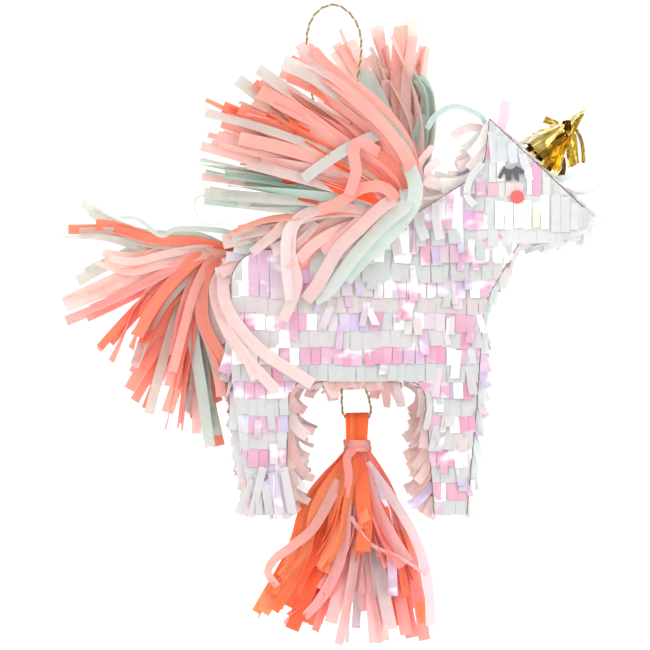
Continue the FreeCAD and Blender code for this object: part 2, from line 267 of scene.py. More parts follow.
def cardFinish(name, code, grainScale, low, high, rough):
    # board with fibres in its surface and a slightly uneven tone
    finish, nodes, links, shader = newFinish(name)
    place = nodes.new("ShaderNodeTexCoord")
    fibre = speckle(nodes, grainScale, 8.0)
    links.new(place.outputs["Object"], fibre.inputs["Vector"])
    tone = nodes.new("ShaderNodeValToRGB")
    base = srgb(code)
    tone.color_ramp.elements[0].position = 0.3
    tone.color_ramp.elements[0].color = (*[c * low for c in base], 1)
    tone.color_ramp.elements[1].position = 0.7
    tone.color_ramp.elements[1].color = (*[min(c * high, 1) for c in base], 1)
    links.new(fibre.outputs["Fac"], tone.inputs["Fac"])
    links.new(tone.outputs["Color"], shader.inputs["Base Color"])
    worn = levels(nodes, (0.0, 1.0), (rough - 0.12, rough + 0.08))
    links.new(fibre.outputs["Fac"], worn.inputs["Value"])
    links.new(worn.outputs["Result"], shader.inputs["Roughness"])
    addBump(nodes, links, place, shader, grainScale * 2, 0.3, 0.0002)
    return finish


finishes = {
    "tissue": tissueFinish("crepeTissue", tissueLook["glow"]),
    "rowTissue": tissueFinish("rowTissue", tissueLook["rowGlow"]),
    "film": filmFinish(),
    "foil": foilFinish(),
    "twine": twineFinish(),
    "card": cardFinish("greyBoard", "CFC6B8", 700.0, 0.82, 1.08, 0.8),
    "linedCard": cardFinish("whiteLinedBoard", "EDE9E7", 700.0, 0.88, 1.04, 0.75),
    # the cut edge's colour is the board's edge darkened with painted shade of the gap beside the fringe
    "edge": cardFinish("cutBoardEdgeAndGapShade", "6E5A4C", 900.0, 0.6, 1.3, 0.7),
    "lash": cardFinish("darkPaper", "56565A", 1500.0, 0.8, 1.25, 0.85),
    "cheek": cardFinish("coralPaper", "EE5F5C", 1300.0, 0.9, 1.1, 0.8),
    "foilBase": cardFinish("goldCard", "A87418", 900.0, 0.7, 1.3, 0.35),
    "tape": cardFinish("paperTape", "D9CCB0", 1100.0, 0.85, 1.1, 0.6),
}
print("finishes mixed")


# sheet stock: every strip is a thin closed sheet, and each piece is many strips
def newStock():
    return {"points": [], "paint": [], "faces": [], "count": 0}


facePlans = {}


def facePlan(rows, columns):
    # corners of each face of one sheet, front, back and the four cut edges
    if (rows, columns) in facePlans:
        return facePlans[rows, columns]
    back = rows * columns
    plan = []
    for r in range(rows - 1):
        for c in range(columns - 1):
            a = r * columns + c
            b, d, e = a + 1, a + columns, a + columns + 1
            plan.append((a, d, e, b))
            plan.append((a + back, b + back, e + back, d + back))
        left, right = r * columns, r * columns + columns - 1
        plan.append((left, left + back, left + columns + back, left + columns))
        plan.append((right, right + columns, right + columns + back, right + back))
    for c in range(columns - 1):
        last = (rows - 1) * columns + c
        plan.append((c, c + 1, c + 1 + back, c + back))
        plan.append((last, last + back, last + 1 + back, last + 1))
    facePlans[rows, columns] = np.array(plan)
    return facePlans[rows, columns]


def addSheet(stock, grid, paint, thick):
    grid = np.asarray(grid, float)
    rows, columns = grid.shape[:2]
    along, across = np.gradient(grid, axis=0), np.gradient(grid, axis=1)
    normal = np.cross(along, across)
    normal /= np.linalg.norm(normal, axis=2, keepdims=True) + 1e-12
    both = np.concatenate([grid + normal * thick / 2, grid - normal * thick / 2]).reshape(-1, 3)
    colour = np.asarray(paint, float)
    if colour.ndim == 1:
        colour = np.broadcast_to(colour, (rows, 3))
    colour = np.repeat(colour[:, None, :], columns, axis=1).reshape(-1, 3)
    stock["points"].append(both)
    stock["paint"].append(np.concatenate([colour, colour]))
    stock["faces"].append(facePlan(rows, columns) + stock["count"])
    stock["count"] += len(both)


def setPiece(name, mesh, body, slotName, *nodes):
    piece = bpy.data.objects.new(name, mesh)
    scene.collection.objects.link(piece)
    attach(piece, body)
    if nodes:
        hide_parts(*nodes)
    return piece


def cutPiece(name, stock, finish, body, slotName, *nodes):
    points = np.concatenate(stock["points"])
    faces = np.concatenate(stock["faces"])
    paint = np.concatenate(stock["paint"])
    mesh = bpy.data.meshes.new(name)
    mesh.from_pydata(points.tolist(), [], [f if f[2] != f[3] else f[:3] for f in faces.tolist()])
    tint = mesh.attributes.new("paint", "FLOAT_COLOR", "POINT")
    tint.data.foreach_set("color", np.concatenate([paint, np.ones((len(paint), 1))], axis=1).ravel())
    mesh.materials.append(finishes[finish])
    mesh.shade_smooth()
    mesh.set_sharp_from_angle(angle=math.radians(42))
    return setPiece(name, mesh, body, slotName, *nodes)


def bezier(p0, p1, p2, p3, count):
    t = np.linspace(0, 1, count)[:, None]
    u = 1 - t
    near = u**3 * np.array(p0) + 3 * u * u * t * np.array(p1)
    return near + 3 * u * t * t * np.array(p2) + t**3 * np.array(p3)


def turnAbout(vectors, axes, angles):
    # each vector turned about its own axis
    cos, sin = np.cos(angles)[:, None], np.sin(angles)[:, None]
    along = np.sum(vectors * axes, axis=1)[:, None] * axes
    return vectors * cos + np.cross(axes, vectors) * sin + along * (1 - cos)


def addStrand(stock, line, width, facing, twist, paint, thick=0.1 * mm, cup=0.12, taper=1.0, pinch=1.0):
    # a tissue ribbon along a line, its face turned towards facing and twisted from twist[0] to twist[1]
    line = np.asarray(line, float)
    count = len(line)
    tangent = np.gradient(line, axis=0)
    tangent /= np.linalg.norm(tangent, axis=1, keepdims=True) + 1e-12
    side = np.cross(tangent, np.broadcast_to(np.array(facing, float), tangent.shape))
    side /= np.linalg.norm(side, axis=1, keepdims=True) + 1e-12
    side = turnAbout(side, tangent, np.linspace(twist[0], twist[1], count))
    face = np.cross(side, tangent)
    gather = pinch + (1 - pinch) * np.clip(np.linspace(0, 4.5, count), 0, 1)
    spread = width * (np.linspace(1, taper, count) * gather)[:, None]
    grid = np.stack([line - side * spread / 2 + face * spread * cup, line,
                     line + side * spread / 2 + face * spread * cup], axis=1)
    addSheet(stock, grid, paint, thick)


def shaded(rng, codes, spread=0.05):
    # one of the stock's colours, a little lighter or darker
    base = srgb(rng.choice(codes))
    level = 1 + rng.uniform(-spread, spread)
    return np.array([min(c * level, 1) for c in base])


# the panel's outline, read from its own card
def panelOutline(node):
    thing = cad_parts[node]
    mesh = thing.data
    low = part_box(node)[0][1]
    flat = {}
    for v in mesh.vertices:
        if abs(v.co.y - low) < 0.02 * mm:
            flat[v.index] = (round(v.co.x / mm, 3), round(v.co.z / mm, 3))
    uses = {}
    for polygon in mesh.polygons:
        corners = list(polygon.vertices)
        if all(c in flat for c in corners):
            for a, b in zip(corners, corners[1:] + corners[:1]):
                key = tuple(sorted((flat[a], flat[b])))
                uses[key] = uses.get(key, 0) + 1
    nextTo = {}
    for (a, b), n in uses.items():
        if n == 1 and a != b:
            nextTo.setdefault(a, []).append(b)
            nextTo.setdefault(b, []).append(a)
    first = max(nextTo, key=lambda p: p[1])
    right = max(nextTo[first], key=lambda p: p[0])
    loop = [first, right]
    while True:
        following = [p for p in nextTo[loop[-1]] if p != loop[-2]]
        if not following or following[0] == first:
            return np.array(loop) * mm
        loop.append(following[0])


outline = panelOutline("near_side_panel")      # clockwise from the ear's tip, seen from the near side
outlineNext = np.roll(outline, -1, axis=0)
outlineRun = np.concatenate([[0], np.cumsum(np.linalg.norm(outlineNext - outline, axis=1))])


def spansAt(x):
    # heights where an upright line at x is inside the outline, as (low, high) pairs
    low, high = np.minimum(outline[:, 0], outlineNext[:, 0]), np.maximum(outline[:, 0], outlineNext[:, 0])
    hits = (low <= x) & (x < high)
    a, b = outline[hits], outlineNext[hits]
    heights = np.sort(a[:, 1] + (x - a[:, 0]) / (b[:, 0] - a[:, 0]) * (b[:, 1] - a[:, 1]))
    return list(zip(heights[::2], heights[1::2]))


def rowEnds(z):
    # places along x where a level line at height z crosses the outline
    low, high = np.minimum(outline[:, 1], outlineNext[:, 1]), np.maximum(outline[:, 1], outlineNext[:, 1])
    hits = (low <= z) & (z < high)
    a, b = outline[hits], outlineNext[hits]
    return sorted(a[:, 0] + (z - a[:, 1]) / (b[:, 1] - a[:, 1]) * (b[:, 0] - a[:, 0]))


def outlinePoint(run):
    # place, heading and outward direction at a distance round the outline
    run %= outlineRun[-1]
    i = min(int(np.searchsorted(outlineRun, run, side="right")) - 1, len(outline) - 1)
    step = outlineNext[i] - outline[i]
    length = np.linalg.norm(step)
    heading = step / length
    place = outline[i] + heading * (run - outlineRun[i])
    return place, heading, np.array([-heading[1], heading[0]])


def outlineReach(node):
    # the stretch of the outline that a rim node lies along, as distances round it
    corners = np.array([(v.co.x, v.co.z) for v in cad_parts[node].data.vertices])
    step = outlineNext - outline
    length = np.linalg.norm(step, axis=1)
    found = []
    for corner in corners:
        share = np.clip(np.sum((corner - outline) * step, axis=1) / (length**2 + 1e-18), 0, 1)
        gap = np.linalg.norm(outline + step * share[:, None] - corner, axis=1)
        i = int(np.argmin(gap))
        if gap[i] < 0.06 * mm:
            found.append(outlineRun[i] + share[i] * length[i])
    found = np.sort(np.unique(np.round(found, 6)))
    gaps = np.diff(np.concatenate([found, [found[0] + outlineRun[-1]]]))
    widest = int(np.argmax(gaps))
    start = found[(widest + 1) % len(found)]
    end = found[widest]
    return (start, end) if end > start else (start, end + outlineRun[-1])


print("outline read:", len(outline), "points")


# twine: two plies twisted round a smooth route
twineSizes = {"diameter": 1.2 * mm, "ply": 0.33 * mm, "offset": 0.27 * mm, "pitch": 4.6 * mm, "sides": 7}
twineColours = [srgb("D2C19C"), srgb("94784C")]
hangingRoute = [
    (-0.9, 0, -106.0), (-11.3, 0, -24.5), (-12.1, 0, -17.5), (-11.2, 0, -8.4), (-6.6, 0, -1.2), (1.2, 0, 1.6),
    (8.4, 0, -3.4), (12.3, 0, -10.8), (13.0, 0, -19.6), (12.0, 0, -26.8), (0.9, 0, -106.0),
]
tasselRoute = [
    (4.2, 0, -169.7), (3.7, 0, -178.4), (4.8, 0, -187.0), (17.2, 0, -187.0), (17.1, 0, -178.3),
    (13.6, 0, -169.7),
]


def smoothRoute(name, points):
    curve = bpy.data.curves.new(name, "CURVE")
    curve.dimensions = "3D"
    curve.resolution_u = 24
    spline = curve.splines.new("NURBS")
    spline.points.add(len(points) - 1)
    for spot, place in zip(spline.points, points):
        spot.co = (place[0] * mm, place[1] * mm, place[2] * mm, 1)
    spline.order_u = 3
    spline.use_endpoint_u = True
    holder = bpy.data.objects.new(name, curve)
    scene.collection.objects.link(holder)
    mesh = bpy.data.meshes.new_from_object(holder)
    path = np.array([v.co[:] for v in mesh.vertices])
    bpy.data.objects.remove(holder)
    return path


def evenPath(path, step):
    gone = np.concatenate([[0], np.cumsum(np.linalg.norm(np.diff(path, axis=0), axis=1))])
    spots = np.linspace(0, gone[-1], max(int(gone[-1] / step), 8))
    return np.stack([np.interp(spots, gone, path[:, k]) for k in range(3)], axis=1), gone[-1]


def addTube(stock, line, radius, sides, paint):
    line = np.asarray(line, float)
    tangent = np.gradient(line, axis=0)
    tangent /= np.linalg.norm(tangent, axis=1, keepdims=True)
    first = np.cross(tangent, np.broadcast_to([0.1, 1.0, 0.05], tangent.shape))
    first /= np.linalg.norm(first, axis=1, keepdims=True)
    second = np.cross(tangent, first)
    turn = np.linspace(0, 2 * math.pi, sides, endpoint=False)
    ring = first[:, None, :] * np.cos(turn)[None, :, None] + second[:, None, :] * np.sin(turn)[None, :, None]
    reach = np.broadcast_to(np.asarray(radius, float), (len(line),))[:, None, None]
    points = (line[:, None, :] + ring * reach).reshape(-1, 3)
    base, faces = stock["count"], []
    for r in range(len(line) - 1):
        for s in range(sides):
            a, b = r * sides + s, r * sides + (s + 1) % sides
            faces.append((a, b, b + sides, a + sides))
    ends = [(0, 1), ((len(line) - 1) * sides, -1)]
    centres = np.stack([line[0], line[-1]])
    for k, (start, way) in enumerate(ends):
        hub = len(points) + k
        for s in range(sides):
            a, b = start + s, start + (s + 1) % sides
            faces.append((b, a, hub, hub) if way > 0 else (a, b, hub, hub))
    stock["points"].append(np.concatenate([points, centres]))
    stock["paint"].append(np.broadcast_to(np.asarray(paint, float), (len(points) + 2, 3)))
    stock["faces"].append(np.array(faces) + base)
    stock["count"] += len(points) + 2


def twistTwine(name, points, body, slotName, *nodes):
    path, length = evenPath(smoothRoute(name + "Route", points), 0.35 * mm)
    tangent = np.gradient(path, axis=0)
    tangent /= np.linalg.norm(tangent, axis=1, keepdims=True)
    side = np.cross(tangent, np.broadcast_to([0.0, 1.0, 0.0], tangent.shape))
    side /= np.linalg.norm(side, axis=1, keepdims=True)
    up = np.cross(tangent, side)
    gone = np.linspace(0, length, len(path))
    stock = newStock()
    for ply in (0, 1):
        turn = gone / twineSizes["pitch"] * 2 * math.pi + ply * math.pi
        shift = side * np.cos(turn)[:, None] + up * np.sin(turn)[:, None]
        addTube(stock, path + shift * twineSizes["offset"], twineSizes["ply"], twineSizes["sides"],
                twineColours[ply])
    piece = cutPiece(name, stock, "twine", body, slotName, *nodes)
    return piece, path, length


def tieKnot(name, knots, body, *nodes):
    # each knot: its centre, its radius, and the straight ends that leave it, all in millimetres
    stock = newStock()
    for centre, radius, ends in knots:
        turn = np.linspace(0, 2 * math.pi, 73)
        bend = np.stack([np.sin(turn) + 2 * np.sin(2 * turn), -1.2 * np.sin(3 * turn),
                         np.cos(turn) - 2 * np.cos(2 * turn)], axis=1)
        loop = (np.array(centre) + bend / 3 * (radius - 0.5)) * mm
        addTube(stock, loop, 0.6 * mm, 8, twineColours[0])
        addTube(stock, loop + np.array([0.1, 0.35, 0.1]) * mm, 0.4 * mm, 8, twineColours[1])
        for start, end in ends:
            addTube(stock, np.linspace(start, end, 12) * mm, 0.6 * mm, 8, twineColours[0])
    return cutPiece(name, stock, "twine", body, "twine", *nodes)


hangingEnds = [((-0.9, 0, -112.4), (-0.9, 0, -106.0)), ((0.9, 0, -112.4), (0.9, 0, -106.0))]
hangingKnot = tieKnot("hangingKnot", [((0, 0, -113.2), 2.8, hangingEnds)], "knot", "hanging_knot")
knotLow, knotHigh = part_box("tassel_twine_knots")
knotTop = knotHigh[2] / mm - 1.6
tieKnot("tasselKnots", [((x, 0, knotTop), 1.7, [((x, 0, knotTop - 0.6),
                                                 (x, 0, knotLow[2] / mm))]) for x in (4.2, 13.6)],
        "door", "tassel_twine_knots")
hangingTwine, hangingPath, hangingLength = twistTwine("hangingTwine", hangingRoute, "hanger", "twine",
        "hanging_loop")
tasselTwine, tasselPath, tasselLength = twistTwine(
    "tasselTwine", tasselRoute, "tassel_twine", "twine", "tassel_twine_loop")
print("twine twisted:", round(hangingLength / mm), "and", round(tasselLength / mm), "mm")


# fringe rows on the two side panels
fringeSizes = {
    "pitch": 7.5 * mm, "hang": 13.5 * mm, "strip": 4.4 * mm, "gap": 0.22 * mm, "lift": 0.9 * mm,
    "longTop": 9.0 * mm, "shortVisible": 15.0 * mm, "firstBottom": -131.5 * mm, "slivers": 105,
    "hoofStrips": 10,
    "headX": 66 * mm, "headZ": -112 * mm, "frontX": 34 * mm, "frontWide": 20 * mm,
}
filmScale = ["D596AF", "D6A0B6", "D7A8BC", "D4ACC4", "CCAEC9", "C3B4D2", "D2C3C9", "D6CDD1"]
filmPales = filmScale[5:]
filmWhites = ["F7FAFA", "F3F7F7", "EFF6F5", "F5F5EB"]
filmCyans = ["BFE0E4", "CBE4E0", "BCD9E8", "DCE6DC"]
tissueWhites = ["D6D6D6", "D3D6D5", "D9D6D7", "D4D7D4"]
sliverTones = ["E8DAD6", "E6DADF", "E2E1E0"]
tissueBlush = ["DBD5D3", "D8D6D4", "DBD3D2"]


def filmPaint(rng, rows, mood):
    # a stretch of the film's pink to lavender scale, with the odd strip white or cyan with glare
    draw = rng.random()
    if draw < 0.15:
        a, b = rng.choice(filmWhites), rng.choice(filmWhites)
    elif draw < 0.19:
        a, b = rng.choice(filmCyans), rng.choice(filmPales)
    else:
        level = min(max(mood + rng.gauss(0, 0.13), 0), 0.999)
        other = min(max(level + rng.uniform(-0.3, 0.3), 0), 0.999)
        a, b = filmScale[int(level * len(filmScale))], filmScale[int(other * len(filmScale))]
    a, b = np.array(srgb(a)), np.array(srgb(b))
    t = np.linspace(0, 1, rows)[:, None] ** rng.uniform(0.6, 1.8)
    return a * (1 - t) + b * t


def tissuePaint(rng, rows, tone):
    colour = np.array(srgb(tone)) * rng.uniform(0.98,
                                                1.02) * np.array([1, rng.uniform(0.985, 1.0),
                                                        rng.uniform(0.98, 1.01)])
    fade = np.linspace(1.0, 0.97, rows)[:, None]
    return np.minimum(colour * fade, 1)


def hangStrip(stock, rng, x, width, top, bottom, face, outward, paint, lift, tilt, rows=5, curl=0.0):
    # one strip of fringe, trimmed to the outline at each of its own three lines
    columns = []
    for share in (-0.5, 0.0, 0.5):
        for pull in (1.0, 0.75, 0.5, 0.3, 0.15):
            here = x + share * pull * width
            lower, middle = bottom + 0.35 * (top - bottom), (top + bottom) / 2
            fits = [s for s in spansAt(here) if s[0] < lower < s[1] or s[0] < middle < s[1]]
            if fits:
                columns.append((here, min(top, fits[0][1] - 0.2 * mm), max(bottom, fits[0][0] - 0.3 * mm)))
                break
    columns = [c for c in columns if c[1] - c[2] > 1.0 * mm]
    if len(columns) < 2:
        return
    highest = max(c[1] for c in columns)
    grid = np.zeros((rows, len(columns), 3))
    wave = rng.uniform(-0.25, 0.25) * mm
    for k, (here, high, low) in enumerate(columns):
        for r in range(rows):
            t = r / (rows - 1)
            z = high + (low - high) * t
            drop = highest - z
            rise = lift * t + curl * t**3 + wave * math.sin(t * math.pi) * (k - 1)
            grid[r, k] = (here + math.sin(tilt) * drop, face + outward * rise, z)
    addSheet(stock, grid, paint, 0.08 * mm)


def sideFringe(name, panel, outward, seed, body, *nodes):
    rng = random.Random(seed)
    film, tissue = newStock(), newStock()
    low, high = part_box(panel)
    face = low[1] if outward < 0 else high[1]
    size = fringeSizes
    pitch = size["pitch"]
    count = int((high[2] - low[2]) / pitch) + 2
    firstRow = math.floor((size["firstBottom"] - low[2]) / pitch)

    def field(x, z, grain, shift):
        return noise.noise(Vector((x * grain, z * grain, seed + shift)))

    for row in range(-1, count):
        bottom = size["firstBottom"] + (row - firstRow) * pitch
        isFilm = (row - firstRow) % 2 == 0
        rowTone = rng.choice(tissueWhites if rng.random() < 0.7 else tissueBlush)
        x = low[0] - rng.uniform(0, size["strip"])
        while x < high[0] + size["strip"]:
            width = size["strip"] * rng.uniform(0.9, 1.1)
            centre = x + width / 2
            x += width + size["gap"] * (1.0 if isFilm else 0.2)
            wander = field(centre, bottom, 60, 0) * 1.4 * mm
            end = bottom + wander + rng.uniform(-0.4, 0.4) * mm
            glue = bottom + size["hang"]
            front = min(max((centre - size["frontX"]) / size["frontWide"], 0), 1)
            messy = max(0.0, field(centre, bottom, 38, 5) + 0.15 * front)
            for spanLow, spanHigh in spansAt(centre):
                under = spanLow - 0.2 * mm
                if end < under and end + pitch > under + 1.0 * mm:
                    end, glue = under - rng.uniform(0, 0.4) * mm, end + pitch + 3 * mm
                if not under - 1 * mm < end < spanHigh - 2 * mm:
                    continue
                short = size["shortVisible"] if not isFilm else 9 * mm
                if spanHigh - end < short and centre < 60 * mm and spanHigh > -118 * mm:
                    continue
                top = spanHigh if spanHigh - glue < size["longTop"] else glue
                onHead = centre > size["headX"] and end > size["headZ"]
                kindFilm = isFilm and not onHead
                if not onHead and rng.random() < 0.03 + 0.07 * front:
                    kindFilm = not isFilm
                lift = size["lift"] * rng.uniform(0.6, 1.15) + messy * 1.4 * mm
                tilt = rng.gauss(0, 0.015 + 0.03 * front) + messy * rng.uniform(-0.4, 0.4)
                curl = messy * rng.uniform(0, 2.6) * mm if rng.random() < 0.5 else 0.0
                if onHead:
                    lift, tilt, curl = rng.uniform(0.3, 0.55) * mm, tilt * 0.3, 0.0
                if kindFilm:
                    mood = 0.36 + 0.9 * field(centre, bottom, 45, 9) + 0.2 * rng.random()
                    paint = filmPaint(rng, 5, mood)
                    hangStrip(film, rng, centre, width, top, end, face, outward, paint, lift, tilt, 5, curl)
                else:
                    paint = tissuePaint(rng, 5, rng.choice(["E0E1E1", "E3E4E4",
                            "DDDFE0"]) if onHead else rowTone)
                    hangStrip(tissue, rng, centre, width * 1.07, top, end, face, outward, paint, lift,
                              tilt * 0.7, 5, curl)
    for row in range(-1, count):            # a strip at each end of every row, close to the outline
        bottom = size["firstBottom"] + (row - firstRow) * pitch
        for where in rowEnds(bottom + 3.5 * mm):
            for inward in (-1, 1):
                centre = where + inward * 1.9 * mm
                spans = [s for s in spansAt(centre) if s[0] - 1 * mm < bottom + 3 * mm < s[1]]
                beyond = [s for s in spansAt(where + inward * 3.2 * mm) if s[0] < bottom + 3.5 * mm < s[1]]
                if not spans or not beyond:
                    continue
                end = max(bottom + rng.uniform(-0.4, 0.4) * mm, spans[0][0] - 0.2 * mm)
                isFilm = (row - firstRow) % 2 == 0 and centre < size["headX"]
                paint = filmPaint(rng, 5, rng.random()) if isFilm else tissuePaint(rng, 5,
                        rng.choice(tissueWhites))
                hangStrip(film if isFilm else tissue, rng, centre, 3.9 * mm, end + 13 * mm, end,
                          face + outward * 0.12 * mm,
                          outward, paint, rng.uniform(0.35, 0.7) * mm, 0.0, 5, 0.0)
    for k in range(size["slivers"]):        # torn slivers lying askew over the rows, mostly towards the front
        centre = rng.triangular(-42, 68, 58) * mm
        end = rng.uniform(-222, -112) * mm
        spans = [s for s in spansAt(centre) if s[0] < end < s[1] - 9 * mm]
        if not spans:
            continue
        long = rng.uniform(6, 13) * mm
        width = rng.uniform(2.4, 4.3) * mm
        paint = filmPaint(rng, 5, rng.random())
        tilt = rng.gauss(0, 0.16)
        onFilm = rng.random() < 0.62
        if not onFilm:
            paint = tissuePaint(rng, 5, rng.choice(tissueWhites + sliverTones))
        hangStrip(film if onFilm else tissue, rng, centre, width, end + long, end,
                  face + outward * 0.7 * mm, outward,
                  paint, rng.uniform(0.3, 1.3) * mm, tilt, 5, rng.uniform(0, 1.6) * mm)
    for x0, x1, top, bottom, kind, code in headStrips:
        paint = np.linspace(1, 0.98, 5)[:, None] * np.array(srgb(code))
        hangStrip(film if kind == "film" else tissue, rng, (x0 + x1) / 2 * mm, (x1 - x0) * mm, top * mm,
                  bottom * mm,
                  face + outward * 0.6 * mm, outward, paint, 0.45 * mm, 0.0, 5, 0.0)
    for k in range(size["hoofStrips"]):     # loose ends fanned out over the hind hoof
        share = (k + 0.5) / size["hoofStrips"]
        foot = (-35.5 + 15 * share + rng.uniform(-0.8, 0.8)) * mm
        tilt = (share - 0.5) * 0.42 + rng.gauss(0, 0.09)
        top, bottom = -209 * mm + rng.uniform(-4, 3) * mm, -229.5 * mm + rng.uniform(-1, 2.5) * mm
        onFilm = rng.random() < 0.3
        paint = filmPaint(rng, 8, rng.uniform(0.3, 1)) if onFilm else tissuePaint(rng, 8,
                rng.choice(tissueWhites))
        spot = np.array([foot, face + outward * rng.uniform(1.0, 1.8) * mm, top])
        line = [spot + np.array([math.sin(tilt) * d, outward * 0.06 * d, -math.cos(tilt) * d])
                for d in np.linspace(0, top - bottom, 8)]
        addStrand(film if onFilm else tissue, line, rng.uniform(3.0, 4.4) * mm, (0, outward, 0),
                  (rng.gauss(0, 0.2), rng.gauss(0, 0.4)), paint, cup=0.08)
    cutPiece(name + "Film", film, "film", body, "iridescent_film", *nodes)
    cutPiece(name + "Tissue", tissue, "rowTissue", body, "pale_tissue")


headStrips = [
    # from x to x, top, bottom, stock, colour
    (57.7, 61.9, -79.5, -101.0, "film", "D7A9CE"), (62.1, 66.2, -82.0, -101.7, "film", "E19DBB"),
    (67.3, 70.8, -64.9, -69.9, "film", "DD92B5"), (68.8, 73.2, -80.9, -86.8, "film", "E5ABB9"),
    (76.6, 80.4, -80.6, -86.8, "film", "E8D3CF"), (80.6, 84.4, -80.8, -87.4, "film", "E9CECA"),
    # the film strips painted pure or near white from x 71.9 to 95.7 mm are a painted highlight, where the
    # film reflects the light
    (88.4, 92.2, -69.0, -86.3, "film", "DDA1C2"), (71.9, 75.8, -88.8, -101.1, "film", "FFFFFF"),
    (76.1, 79.9, -89.4, -101.6, "film", "FFFFFF"), (80.3, 84.1, -89.2, -100.8, "film", "FFFFFA"),
    (84.4, 88.0, -88.6, -101.4, "film", "FBFDE8"), (88.5, 91.7, -89.4, -100.6, "film", "E5E9CA"),
    (92.1, 95.7, -86.0, -101.3, "film", "FFFFFF"), (96.8, 101.0, -86.0, -102.8, "tissue", "DBDDDC"),
    (101.1, 105.2, -86.8, -102.6, "tissue", "DADCDC"), (105.3, 109.0, -89.5, -101.8, "tissue", "DCDEDC"),
    (72.6, 76.4, -66.0, -80.0, "film", "E7EEEA"), (86.0, 88.2, -74.0, -86.0, "film", "E9EDE2"),
    (93.0, 96.4, -78.0, -86.5, "tissue", "E1E3DD"), (69.0, 72.4, -70.4, -80.6, "tissue", "E2E1DF"),
]
sideFringe("nearRows", "near_side_panel", -1, 11, "shell", "near_side_fringe")
sideFringe("farRows", "far_side_panel", 1, 23, "shell", "far_side_fringe")
print("side rows hung")


# fringe round the rim: rows across the bands, whose strips run along the band and ruffle out from it
rimSizes = {"strip": 4.6 * mm, "inset": 0.4 * mm, "steps": 8, "hornRoot": np.array([92.8, -74.6]) * mm}
peachTissue = ["F4E1DD", "F5E6E3", "F3D9D3", "F2E8E6", "F2E2E2"]
whiteTissue = ["EBEEEF", "EAEFED", "EDEEED", "ECEAEB", "EFEAE8"]
rimStyles = {
    # way is the direction round the outline in which the strips lie, open the angles they stand out at
    "forehead": {"nodes": ("forehead_fringe", "forehead_band"), "way": 1, "open": (4, 20), "long": (8, 12),
                 "colours": whiteTissue,
                 "film": 0.2, "ruffle": 0.2},
    "muzzle": {"nodes": ("muzzle_fringe", "muzzle_band"), "way": 1, "open": (4, 20), "long": (7, 11),
               "colours": whiteTissue,
               "film": 0.1, "ruffle": 0.35},
    "chest": {"nodes": ("chest_fringe", "chest_band"), "way": 1, "open": (8, 34), "long": (10, 14),
              "colours": whiteTissue,
              "film": 0.3, "ruffle": 0.6},
    "frontLegInner": {"nodes": ("front_leg_inner_fringe", "front_leg_inner_band"), "way": -1,
                      "open": (14, 84), "long": (8, 16),
                        "colours": peachTissue, "film": 0.06, "ruffle": 1.3},
    "hindLegInner": {"nodes": ("hind_leg_inner_fringe", "hind_leg_inner_band"), "way": 1, "open": (18, 88),
                     "long": (8, 17),
                       "colours": peachTissue, "film": 0.05, "ruffle": 1.3},
    "hindLegOuter": {"nodes": ("hind_leg_outer_fringe", "hind_leg_outer_band"), "way": -1, "open": (8, 36),
                     "long": (10, 14),
                       "colours": whiteTissue + ["F8ECEA"], "film": 0.2, "ruffle": 0.7},
    "back": {"nodes": ("back_fringe", "back_band"), "way": -1, "open": (8, 36), "long": (9, 14),
             "colours": ["FBE3DF", "FAEAE8", "F7F0F0", "EAEFEA"], "film": 0.1, "ruffle": 0.7},
    "crest": {"nodes": ("mane_fringe", "crest_band"), "way": -1, "open": (30, 75), "long": (12, 20),
              "pitch": 6.4,
              "colours": ["FDF6F5", "FCF7F6", "FDF1EF", "FAF6F6", "F4F6F4"], "film": 0.08, "ruffle": 0.9},
}


def ruffleStrip(stock, rng, place, heading, outward, middle, half, style, width, paint):
    # one strip of the rim: it leaves along the band, lifts away, and turns its face outwards near the panel
    long = rng.uniform(*style["long"]) * mm
    if abs(heading[1]) > 0.8:
        long = max(4 * mm, min(long, place[1] + 229.5 * mm))
    opening = math.radians(rng.uniform(*style["open"]))
    first = opening * rng.uniform(0.2, 0.5)
    side = 1 if middle > 0 else -1
    nearness = abs(middle) / half
    lean = side * nearness**3 * rng.uniform(-0.05, 0.3) * style["ruffle"] + rng.gauss(0, 0.07)
    spot = np.array([place[0], middle, place[1]]) + np.array([outward[0], 0, outward[1]]) * 0.15 * mm
    steps = rimSizes["steps"]
    line = []
    for k in range(steps):
        line.append(spot.copy())
        angle = first + (opening - first) * k / (steps - 1)
        along = heading * style["way"] * math.cos(angle) + outward * math.sin(angle)
        spot = spot + np.array([along[0], math.sin(lean), along[1]]) * long / (steps - 1)
    turned = min(1.0, style["ruffle"] * rng.uniform(0.2, 1.5) * (0.35 + nearness))
    facing = np.array([outward[0] * (1 - turned), side * turned, outward[1] * (1 - turned)])
    twist = (rng.gauss(0, 0.08), rng.gauss(0, 0.5 * style["ruffle"] + 0.1))
    addStrand(stock, line, width, tuple(facing), twist, paint, cup=rng.uniform(0.0, 0.12))


